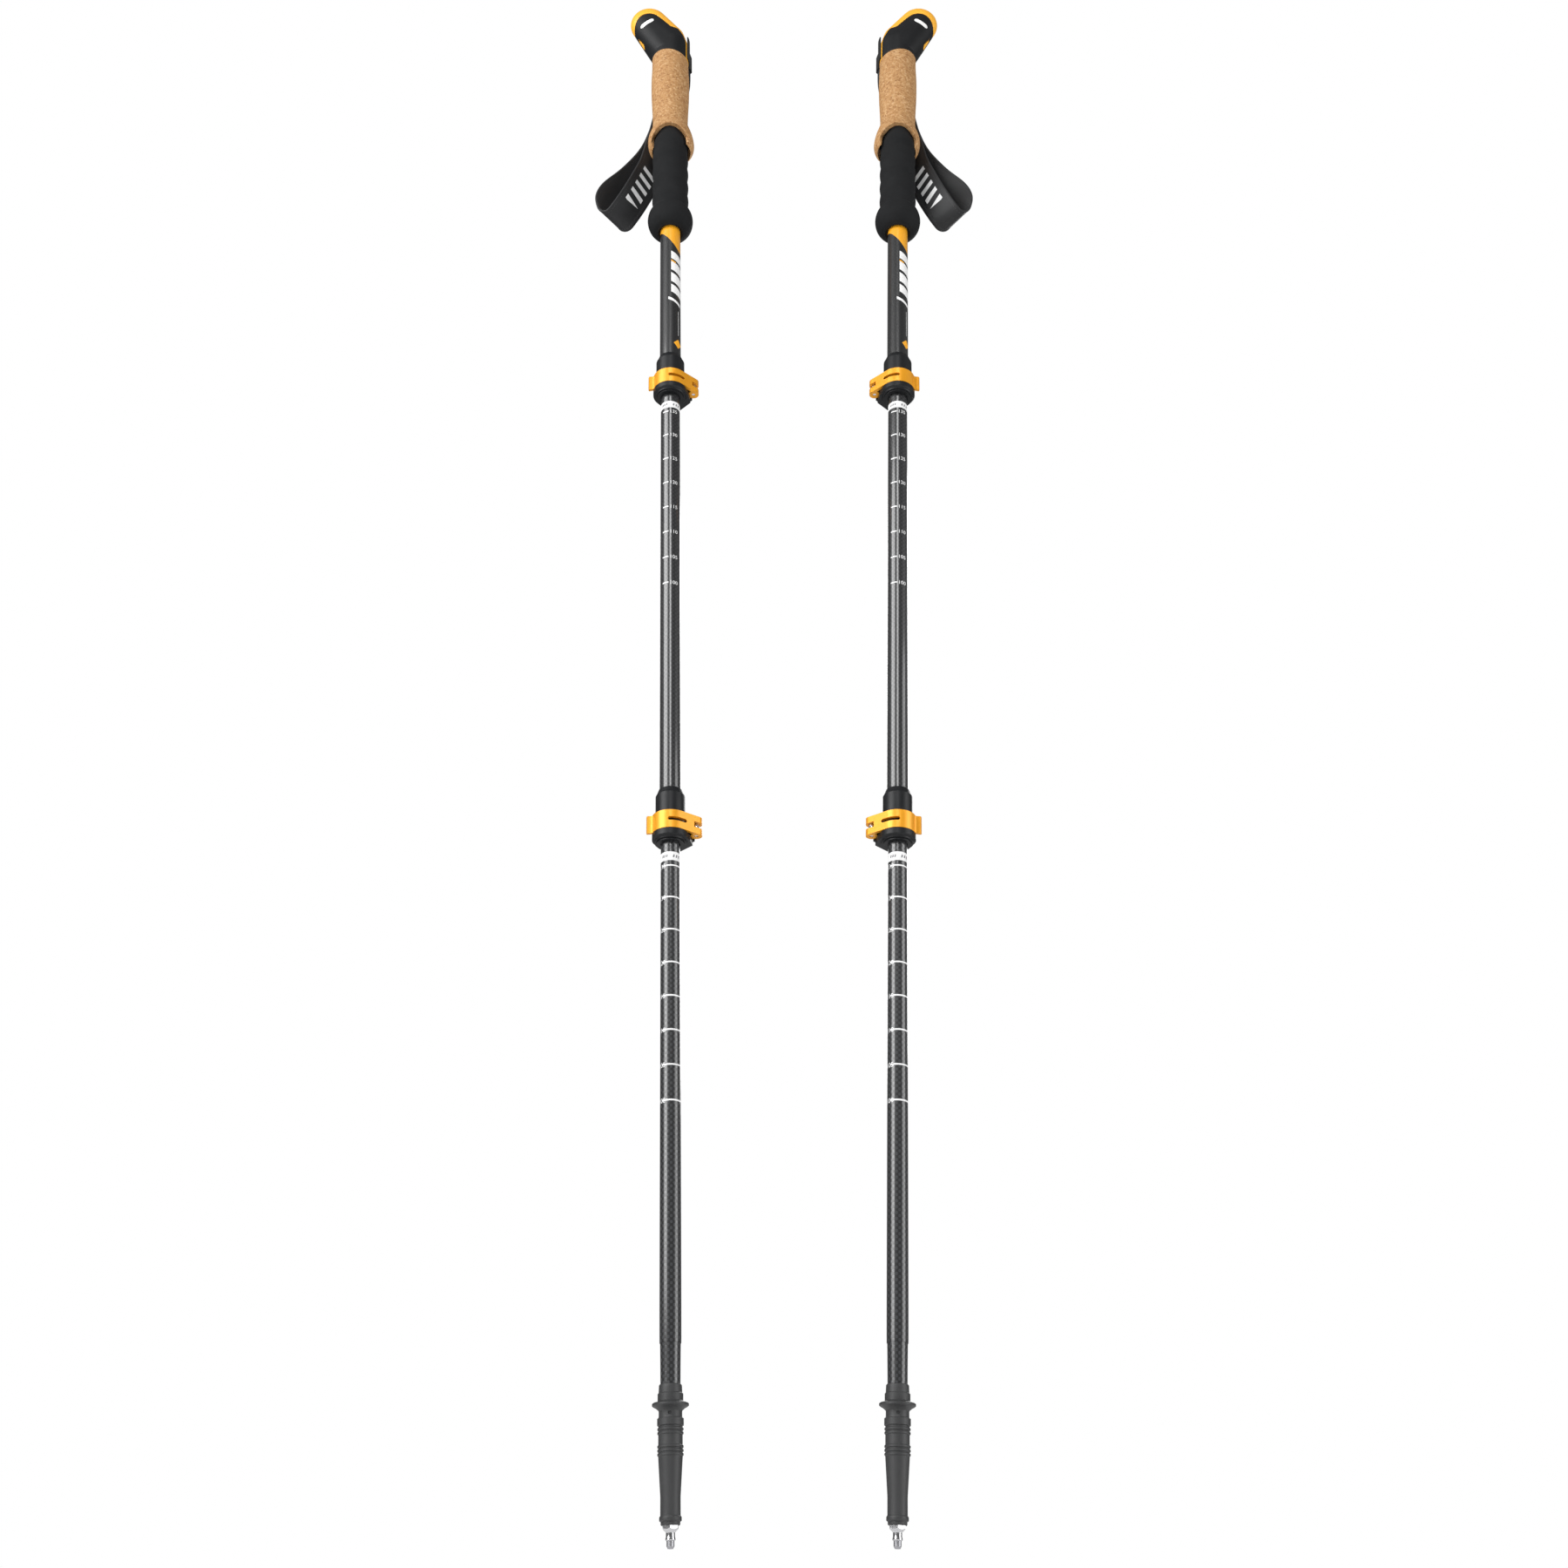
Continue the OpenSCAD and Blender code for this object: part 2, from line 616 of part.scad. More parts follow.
pole(RIGHT) barrel_pin(mid_r, lower_lock_z);  // right_lower_barrel_pin
pole(RIGHT) tension_screw(mid_r, lower_lock_z);  // right_lower_screw
pole(RIGHT) thumb_nut(mid_r, lower_lock_z);  // right_lower_nut
pole(RIGHT) lower_tube();  // right_lower_tube
pole(RIGHT) bush(lower_r, lower_lock_z + overlap);  // right_lower_bush
pole(RIGHT) ferrule();  // right_ferrule
pole(RIGHT) tip_holder();  // right_tip_holder
pole(RIGHT) carbide_tip();  // right_carbide_tip
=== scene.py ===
"""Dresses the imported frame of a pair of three-section trekking poles.

Each pole is shaped upright in its own millimetres, with its tip at the origin and its nose towards -X,
and is then stood in the frame's metres by its stance. Tubes and their prints keep the same hand on both
poles; grips, heads and straps are mirror images.
"""

import json
import logging
import math
from dataclasses import dataclass
from enum import Enum
from typing import Any, Callable, Iterable, Sequence

import bmesh
import bpy
from mathutils import Matrix, Vector

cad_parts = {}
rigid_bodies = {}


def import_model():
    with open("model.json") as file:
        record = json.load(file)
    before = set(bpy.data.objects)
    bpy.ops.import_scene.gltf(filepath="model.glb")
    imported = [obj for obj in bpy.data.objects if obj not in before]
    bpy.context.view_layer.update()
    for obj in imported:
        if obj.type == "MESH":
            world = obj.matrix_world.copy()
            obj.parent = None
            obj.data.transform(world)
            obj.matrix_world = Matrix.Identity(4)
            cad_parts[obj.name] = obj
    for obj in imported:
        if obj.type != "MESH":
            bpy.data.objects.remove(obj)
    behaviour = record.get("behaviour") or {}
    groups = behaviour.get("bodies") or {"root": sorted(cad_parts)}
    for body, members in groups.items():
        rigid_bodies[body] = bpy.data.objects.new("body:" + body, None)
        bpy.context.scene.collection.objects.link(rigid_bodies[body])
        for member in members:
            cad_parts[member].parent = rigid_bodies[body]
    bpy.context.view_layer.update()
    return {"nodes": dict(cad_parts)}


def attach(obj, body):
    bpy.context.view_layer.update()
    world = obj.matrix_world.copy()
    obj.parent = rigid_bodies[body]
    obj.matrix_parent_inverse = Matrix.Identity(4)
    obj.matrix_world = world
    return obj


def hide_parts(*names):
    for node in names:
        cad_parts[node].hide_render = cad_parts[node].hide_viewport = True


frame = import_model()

LOG = logging.getLogger("poles")
MM = 0.001
Point = tuple[float, float]
Colour = tuple[float, float, float, float]


def tint(red: float, green: float, blue: float) -> Colour:
    """Linear colour with full alpha."""
    return (red, green, blue, 1.0)


# ---------------------------------------------------------------- shader and node helpers


class Sock:
    """A node's output that does arithmetic: each operator adds one Math node to its graph."""

    def __init__(self, graph: "Graph", socket: bpy.types.NodeSocket) -> None:
        """Wraps one output socket of a graph."""
        self.graph = graph
        self.socket = socket

    def math(self, operation: str, *others: Any) -> "Sock":
        """Returns this value put through a Math node with the other operands."""
        return self.graph.add("ShaderNodeMath", {"operation": operation}, dict(enumerate((self, *others))))

    def __add__(self, other: Any) -> "Sock":
        """Sum."""
        return self.math("ADD", other)

    def __sub__(self, other: Any) -> "Sock":
        """Difference."""
        return self.math("SUBTRACT", other)

    def __rsub__(self, other: Any) -> "Sock":
        """Difference from a plain number."""
        return self.graph.add("ShaderNodeMath", {"operation": "SUBTRACT"}, {0: other, 1: self})

    def __mul__(self, other: Any) -> "Sock":
        """Product."""
        return self.math("MULTIPLY", other)

    def __truediv__(self, other: Any) -> "Sock":
        """Quotient."""
        return self.math("DIVIDE", other)

    def __gt__(self, other: Any) -> "Sock":
        """1 where this value is the greater one, and 0 elsewhere."""
        return self.math("GREATER_THAN", other)

    def __lt__(self, other: Any) -> "Sock":
        """1 where this value is the smaller one, and 0 elsewhere."""
        return self.math("LESS_THAN", other)

    __radd__ = __add__
    __rmul__ = __mul__

    def fract(self) -> "Sock":
        """Fractional part."""
        return self.math("FRACT")

    def floor(self) -> "Sock":
        """Whole part."""
        return self.math("FLOOR")

    def crown(self) -> "Sock":
        """Half a sine wave over each whole step of the value: 0 at the edges and 1 in the middle."""
        return (self.fract() * math.pi).math("SINE")


class Graph:
    """A node tree that is written as expressions."""

    def __init__(self, tree: bpy.types.NodeTree) -> None:
        """Empties the tree and takes it over."""
        self.tree = tree
        tree.nodes.clear()

    @staticmethod
    def find(sockets: Iterable[bpy.types.NodeSocket], key: int | str) -> bpy.types.NodeSocket:
        """Finds a socket by its place, its identifier or its name.

        Args:
            sockets: A node's inputs or outputs.
            key: The place, the identifier or the name.

        Returns:
            The first socket that fits.
        """
        sockets = list(sockets)
        if isinstance(key, int):
            return sockets[key]
        named = [s for s in sockets if s.identifier == key] or [s for s in sockets if s.name == key]
        return named[0]

    def node(self, kind: str, settings: dict[str, Any] | None = None,
             inputs: dict[int | str, Any] | None = None) -> bpy.types.Node:
        """Adds a node.

        Args:
            kind: The node's type.
            settings: Its properties, set first. "stops" lists a colour ramp's (position, colour) pairs.
            inputs: Values or links for its sockets.

        Returns:
            The node.
        """
        made = self.tree.nodes.new(kind)
        for key, value in (settings or {}).items():
            if key != "stops":
                setattr(made, key, value)
                continue
            elements = made.color_ramp.elements
            while len(elements) < len(value):
                elements.new(1.0)
            for element, (position, colour) in zip(elements, value):
                element.position = position
                element.color = colour
        for key, value in (inputs or {}).items():
            socket = self.find(made.inputs, key)
            if isinstance(value, Sock):
                self.tree.links.new(value.socket, socket)
            else:
                socket.default_value = value
        return made

    def add(self, kind: str, settings: dict[str, Any] | None = None,
            inputs: dict[int | str, Any] | None = None, out: int | str = 0) -> Sock:
        """Adds a node and returns one of its outputs.

        Args:
            kind: The node's type.
            settings: Its properties.
            inputs: Values or links for its sockets.
            out: Which output to return.

        Returns:
            The output.
        """
        made = self.node(kind, settings, inputs)
        return Sock(self, self.find(made.outputs, out))

    def mix(self, factor: Any, low: Any, high: Any) -> Sock:
        """Mixes two colours, low where the factor is 0 and high where it is 1."""
        inputs = {"Factor_Float": factor, "A_Color": low, "B_Color": high}
        return self.add("ShaderNodeMix", {"data_type": "RGBA"}, inputs, "Result_Color")

    def blend(self, factor: Any, low: Any, high: Any) -> Sock:
        """Mixes two numbers, low where the factor is 0 and high where it is 1."""
        inputs = {"Factor_Float": factor, "A_Float": low, "B_Float": high}
        return self.add("ShaderNodeMix", {"data_type": "FLOAT"}, inputs, "Result_Float")

    def place(self) -> Sock:
        """The object's own coordinates, in metres."""
        return self.add("ShaderNodeTexCoord", out="Object")

    def flat_place(self) -> tuple[Sock, Sock]:
        """The two coordinates of the piece's own map."""
        split = self.node("ShaderNodeSeparateXYZ", inputs={0: self.add("ShaderNodeTexCoord", out="UV")})
        return Sock(self, split.outputs[0]), Sock(self, split.outputs[1])

    def noise(self, where: Sock, scale: float, detail: float = 3.0, roughness: float = 0.5) -> Sock:
        """Soft noise from 0 to 1."""
        inputs = {"Vector": where, "Scale": scale, "Detail": detail, "Roughness": roughness}
        return self.add("ShaderNodeTexNoise", {"noise_dimensions": "3D"}, inputs)

    def bump(self, height: Sock, depth: float, strength: float) -> Sock:
        """A bumped normal from a height from 0 to 1.

        Args:
            height: The height.
            depth: What a height of 1 stands for, in metres.
            strength: How much of the bump shows.

        Returns:
            The normal.
        """
        return self.add("ShaderNodeBump", inputs={"Height": height, "Distance": depth, "Strength": strength})


# ---------------------------------------------------------------- finishes


@dataclass(frozen=True)
class Finish:
    """A finish: a named material with the values that are the same all over the surface."""

    name: str
    coat: float = 0.0
    coat_roughness: float = 0.1
    specular: float = 0.5
    sheen: float = 0.0
    metallic: float = 0.0

    def surface(self, graph: Graph) -> dict[str, Any]:
        """Returns the links of Base Color, Roughness and Normal."""
        raise NotImplementedError

    def make(self) -> bpy.types.Material:
        """Builds the material, or returns it if it is there already."""
        known = bpy.data.materials.get(self.name)
        if known:
            return known
        material = bpy.data.materials.new(self.name)
        material.use_nodes = True
        graph = Graph(material.node_tree)
        fixed = {
            "Coat Weight": self.coat, "Coat Roughness": self.coat_roughness, "Metallic": self.metallic,
            "Specular IOR Level": self.specular, "Sheen Weight": self.sheen, "Sheen Roughness": 0.4,
        }
        shader = graph.add("ShaderNodeBsdfPrincipled", inputs=fixed | self.surface(graph))
        graph.node("ShaderNodeOutputMaterial", inputs={"Surface": shader})
        return material


@dataclass(frozen=True)
class WovenCarbon(Finish):
    """Clear-coated carbon cloth on a tube, with an orange sweep at its top where a height is given."""

    turns: int = 22
    tow: float = 1.95
    gain: float = 1.0
    sweep_z: float = 0.0
    sweep_lean: float = 13.0

    def surface(self, graph: Graph) -> dict[str, Any]:
        """Plain weave: in each cell the fibres run either round the tube or along it; cells whose fibres run
        up the tube get a lighter base colour, a painted sheen that stands in for their reflection.
        """
        turn, height = graph.flat_place()
        across, along = turn * float(self.turns), height / self.tow
        upright = ((across.floor() + along.floor()) * 0.5).fract() * 2.0
        rise = graph.blend(upright, along.crown(), across.crown())
        dive = graph.blend(upright, across.crown(), along.crown())
        fibre = graph.noise(graph.place(), 2600.0, 2.0)
        cloth = (rise * 0.75 + dive * 0.25) * (0.9 + fibre * 0.1)
        # painted sheen: upright cells get a lighter base colour, brightest on each tow's crown, in place of
        # the fibres' reflection of the lamps
        glow = cloth * upright * self.gain
        colour = graph.mix(glow, tint(0.0075, 0.0078, 0.0085), tint(0.060, 0.062, 0.066))
        rough = 0.40 - glow * 0.14
        if self.sweep_z:
            lean = (turn * math.tau).math("SINE") * self.sweep_lean
            painted = (height + lean) > self.sweep_z
            speck = graph.noise(graph.place(), 900.0, 2.0)
            paint = graph.mix(speck, tint(0.80, 0.335, 0.012), tint(0.93, 0.43, 0.022))
            colour = graph.mix(painted, colour, paint)
            rough = graph.blend(painted, rough, 0.34)
        normal = graph.bump(cloth, 0.00006, 0.55 * self.gain)
        return {"Base Color": colour, "Roughness": rough, "Normal": normal}


@dataclass(frozen=True)
class Cork(Finish):
    """Pressed cork: granules of several browns, dark pits between some of them, and a dry grain."""

    grain: float = 620.0

    def surface(self, graph: Graph) -> dict[str, Any]:
        """Granules by Voronoi cells over broad patches of tone."""
        where = graph.place()
        warp = graph.add("ShaderNodeTexNoise", inputs={"Vector": where, "Scale": 900.0, "Detail": 2.0}, out=1)
        bent = graph.add("ShaderNodeVectorMath", {"operation": "MULTIPLY_ADD"},
                         {0: warp, 1: (0.0011, 0.0011, 0.0011), 2: where})
        cell = graph.node("ShaderNodeTexVoronoi", {"feature": "F1"}, {"Vector": bent, "Scale": self.grain})
        chance = graph.add("ShaderNodeSeparateColor", inputs={0: Sock(graph, cell.outputs["Color"])})
        browns = [
            (0.0, tint(0.22, 0.100, 0.036)), (0.10, tint(0.325, 0.160, 0.060)),
            (0.35, tint(0.405, 0.220, 0.088)), (0.72, tint(0.45, 0.257, 0.109)),
            (1.0, tint(0.57, 0.37, 0.19)),
        ]
        granule = graph.add("ShaderNodeValToRGB", {"stops": browns}, {0: chance})
        patch = graph.noise(where, 130.0, 2.0)
        toned = graph.mix(patch * 0.5, granule, tint(0.445, 0.224, 0.081))
        edge = graph.add("ShaderNodeTexVoronoi", {"feature": "DISTANCE_TO_EDGE"},
                         {"Vector": bent, "Scale": self.grain})
        spots = graph.noise(where, 1250.0, 2.0, 0.7)
        pit = (spots < 0.36) * 1.0
        colour = graph.mix(pit * 0.62, toned, tint(0.16, 0.075, 0.029))
        fine = graph.noise(where, 3200.0, 3.0)
        relief = edge.math("MINIMUM", 0.25) * 2.0 + fine * 0.35 - pit * 0.8
        rough = 0.62 + fine * 0.2
        return {"Base Color": colour, "Roughness": rough, "Normal": graph.bump(relief, 0.00010, 0.55)}


@dataclass(frozen=True)
class Foam(Finish):
    """Closed-cell foam: matte black with fine pores and faint rubbed patches."""

    def surface(self, graph: Graph) -> dict[str, Any]:
        """Pores by noise at two sizes."""
        where = graph.place()
        pores = graph.noise(where, 1500.0, 4.0, 0.65)
        rubbed = graph.noise(where, 55.0, 2.0)
        colour = graph.mix(rubbed * 0.7 + pores * 0.3, tint(0.0055, 0.0059, 0.0065),
                           tint(0.0170, 0.0176, 0.0186))
        rough = 0.74 + pores * 0.2
        return {"Base Color": colour, "Roughness": rough, "Normal": graph.bump(pores, 0.00012, 0.5)}


@dataclass(frozen=True)
class Webbing(Finish):
    """Black polyester tape in a fine twill, with a smoother selvedge; one face may carry slanted bars."""

    printed: bool = False
    rib: float = 0.00085
    half_width: float = 0.014
    bar_pitch: float = 0.0125
    bar_share: float = 0.46
    print_from: float = 0.158
    print_to: float = 0.216

    def surface(self, graph: Graph) -> dict[str, Any]:
        """Twill by a slanted wave; the map holds metres along the tape and across it."""
        along, across = graph.flat_place()
        twill = ((along + across * 0.7) / self.rib).crown()
        yarn = (across / (self.rib * 0.9)).crown()
        edge = across.math("ABSOLUTE") > self.half_width * 0.88
        cloth = graph.blend(edge, twill * 0.65 + yarn * 0.35, (along / self.rib).crown())
        colour = graph.mix(cloth, tint(0.0070, 0.0072, 0.0078), tint(0.0235, 0.0240, 0.0252))
        rough = 0.60 - cloth * 0.12
        if self.printed:
            bar = ((along - across * 0.45) / self.bar_pitch).fract() < self.bar_share
            span = (along > self.print_from) * (along < self.print_to)
            inked = bar * span * (across.math("ABSOLUTE") < self.half_width * 0.52)
            ink = graph.mix(cloth, tint(0.70, 0.70, 0.70), tint(0.86, 0.86, 0.86))
            colour = graph.mix(inked, colour, ink)
        normal = graph.bump(cloth, 0.00009, 0.6)
        return {"Base Color": colour, "Roughness": rough, "Normal": normal}


@dataclass(frozen=True)
class Moulded(Finish):
    """Moulded plastic, rubber, paint or metal: one colour that wanders a little, with a fine skin."""

    colour: Colour = tint(0.02, 0.02, 0.02)
    drift: float = 0.25
    rough: float = 0.45
    rough_drift: float = 0.12
    grain: float = 1400.0
    depth: float = 0.00003
    cloud: float = 90.0

    def surface(self, graph: Graph) -> dict[str, Any]:
        """Broad clouds change the tone, and a fine grain makes the skin."""
        where = graph.place()
        clouds = graph.noise(where, self.cloud, 3.0)
        skin = graph.noise(where, self.grain, 3.0, 0.6)
        low = tint(*(channel * (1.0 - self.drift) for channel in self.colour[:3]))
        high = tint(*(min(1.0, channel * (1.0 + self.drift)) for channel in self.colour[:3]))
        colour = graph.mix(clouds * 0.7 + skin * 0.3, low, high)
        rough = self.rough + (clouds - 0.5) * self.rough_drift + (skin - 0.5) * self.rough_drift
        return {"Base Color": colour, "Roughness": rough, "Normal": graph.bump(skin, self.depth, 0.6)}


@dataclass(frozen=True)
class TurnedSteel(Finish):
    """Bright turned steel with fine tool rings round its axis."""

    tone: float = 0.78
    rough: float = 0.13

    def surface(self, graph: Graph) -> dict[str, Any]:
        """Rings by a noise that changes fast up the piece and slowly round it."""
        mapping = {"Vector": graph.place(), "Scale": (60.0, 60.0, 5200.0)}
        stretched = graph.add("ShaderNodeMapping", inputs=mapping)
        rings = graph.noise(stretched, 1.0, 2.0)
        stain = graph.noise(graph.place(), 240.0, 3.0)
        dark = tint(self.tone * 0.62, self.tone * 0.62, self.tone * 0.64)
        colour = graph.mix(stain * 0.6 + rings * 0.4, dark, tint(self.tone, self.tone, self.tone * 1.01))
        return {"Base Color": colour, "Roughness": self.rough + rings * 0.12,
                "Normal": graph.bump(rings, 0.00002, 0.4)}


# gain sets both the weave's relief and how strong its painted sheen is on each tube
PLAIN_CARBON = WovenCarbon("carbon_upper", coat=1.0, coat_roughness=0.07, turns=28, gain=0.12, sweep_z=1072.0)
MID_CARBON = WovenCarbon("carbon_middle", coat=0.9, coat_roughness=0.10, turns=26, gain=0.55)
LOW_CARBON = WovenCarbon("carbon_lower", coat=0.8, coat_roughness=0.12, turns=22, gain=1.0)
CORK = Cork("pressed_cork", specular=0.35)
FOAM = Foam("grip_foam", specular=0.14)
PLAIN_TAPE = Webbing("strap_tape", specular=0.3, sheen=0.06)
PRINTED_TAPE = Webbing("strap_tape_printed", specular=0.3, sheen=0.06, printed=True)
ORANGE_RUBBER = Moulded("orange_rubber", colour=tint(0.93, 0.405, 0.022), drift=0.05, rough=0.46,
                        specular=0.4)
BLACK_RUBBER = Moulded("cheek_plastic", colour=tint(0.0085, 0.0090, 0.0100), rough=0.50, depth=0.00005,
                       specular=0.24)
LOCK_PLASTIC = Moulded("lock_plastic", colour=tint(0.0095, 0.0102, 0.0115), rough=0.42, depth=0.00004,
                       specular=0.26)
TIP_PLASTIC = Moulded("ferrule_plastic", colour=tint(0.0330, 0.0335, 0.0345), rough=0.50, depth=0.00005)
DARK_TRIM = Moulded("dark_trim", colour=tint(0.0120, 0.0120, 0.0130), rough=0.48)
ORANGE_METAL = Moulded("lever_metal", colour=tint(0.86, 0.365, 0.012), drift=0.07, rough=0.40,
                       metallic=0.35, coat=0.15, coat_roughness=0.25, depth=0.00001)
INLAY = Moulded("pale_inlay", colour=tint(0.80, 0.76, 0.71), drift=0.08, rough=0.38)
WHITE_PRINT = Moulded("white_print", colour=tint(0.82, 0.82, 0.82), drift=0.06, rough=0.40)
ORANGE_PRINT = Moulded("orange_print", colour=tint(0.90, 0.40, 0.02), drift=0.06, rough=0.40)
GREY_PRINT = Moulded("grey_print", colour=tint(0.16, 0.16, 0.17), drift=0.10, rough=0.45)
THREAD = Moulded("strap_thread", colour=tint(0.045, 0.045, 0.048), drift=0.2, rough=0.7, cloud=400.0)
STEEL = TurnedSteel("turned_steel", metallic=1.0)
CARBIDE = TurnedSteel("carbide", metallic=1.0, tone=0.46, rough=0.30)


# ---------------------------------------------------------------- places and meshes


class Side(Enum):
    """Which pole, and the sign of its place along X."""

    LEFT = -1
    RIGHT = 1


class Hand(Enum):
    """Whether a piece is mirrored on the right pole or is the same on both."""

    MIRRORED = "mirrored"
    SAME = "same"


@dataclass(frozen=True)
class PoleSizes:
    """Driving sizes of a pole, in millimetres, with heights measured up from the tip."""

    length: float = 1390.0
    lower_lock: float = 470.5
    upper_lock: float = 893.5
    overlap: float = 84.0
    head_h: float = 64.0
    cork_h: float = 126.0
    foam_h: float = 112.0
    arch_drop: float = 8.0
    upper_r: float = 9.0
    mid_r: float = 8.0
    lower_r: float = 7.0
    wall: float = 0.7

    @property
    def head_z(self) -> float:
        """Height of the head's base."""
        return self.length - self.head_h

    @property
    def cork_z(self) -> float:
        """Height of the cork's foot."""
        return self.head_z - self.cork_h

    @property
    def foam_z(self) -> float:
        """Height of the foam's lower end."""
        return self.cork_z - self.foam_h

    @property
    def arch_z(self) -> float:
        """Height of the axis of the arch that divides cork and foam."""
        return self.cork_z - self.arch_drop


@dataclass(frozen=True)
class Stance:
    """How one pole stands in the frame: its side, its lean and the place of its tip, in millimetres."""

    side: Side
    splay: float = math.radians(1.84)
    tip_offset: float = 68.0
    axis_y: float = -1.7

    def matrix(self, hand: Hand) -> Matrix:
        """Turns the pole's own millimetres into the frame's metres."""
        sign = self.side.value
        move = Matrix.Translation((sign * self.tip_offset * MM, self.axis_y * MM, 0.0))
        lean = Matrix.Rotation(sign * self.splay, 4, "Y")
        flip = Matrix.Diagonal((-sign if hand is Hand.MIRRORED else 1, 1, 1, 1))
        return move @ lean @ flip @ Matrix.Scale(MM, 4)

    def name(self, part: str) -> str:
        """The part's name on this pole."""
        return f"{self.side.name.lower()}_{part}"


def smooth(points: Sequence[Sequence[float]], steps: int) -> list[tuple[float, ...]]:
    """Runs a Catmull-Rom curve through points.

    Args:
        points: The points, of any dimension.
        steps: Steps in each span.

    Returns:
        The points of the curve, ends included.
    """
    line = []
    last = len(points) - 1
    for i in range(last):
        a, b, c, d = points[max(i - 1, 0)], points[i], points[i + 1], points[min(i + 2, last)]
        for k in range(steps):
            t = k / steps
            line.append(tuple(
                0.5 * (2 * q + (r - p) * t + (2 * p - 5 * q + 4 * r - s) * t * t
                       + (3 * q - p - 3 * r + s) * t ** 3)
                for p, q, r, s in zip(a, b, c, d)))
    line.append(tuple(points[last]))
    return line


def value_at(line: Sequence[Point], z: float) -> float:
    """Reads the radius off a profile of (radius, height) points at a height."""
    for (r0, z0), (r1, z1) in zip(line, line[1:]):
        if z0 <= z <= z1:
            return r0 + (r1 - r0) * (z - z0) / max(z1 - z0, 1e-6)
    return line[0][0] if z < line[0][1] else line[-1][0]


def rounded(outline: Sequence[Point], radius: float, steps: int = 5) -> list[Point]:
    """Rounds the corners of a closed outline.

    Args:
        outline: The corners in order.
        radius: How far along each side a corner's curve starts.
        steps: Steps in each corner.

    Returns:
        The rounded outline.
    """
    line: list[Point] = []
    for i, corner in enumerate(outline):
        here = Vector(corner)
        before = Vector(outline[i - 1]) - here
        after = Vector(outline[(i + 1) % len(outline)]) - here
        start = here + before.normalized() * min(radius, before.length * 0.45)
        end = here + after.normalized() * min(radius, after.length * 0.45)
        for k in range(steps + 1):
            t = k / steps
            spot = start * (1 - t) ** 2 + here * (2 * t * (1 - t)) + end * t * t
            line.append((spot.x, spot.y))
    return line


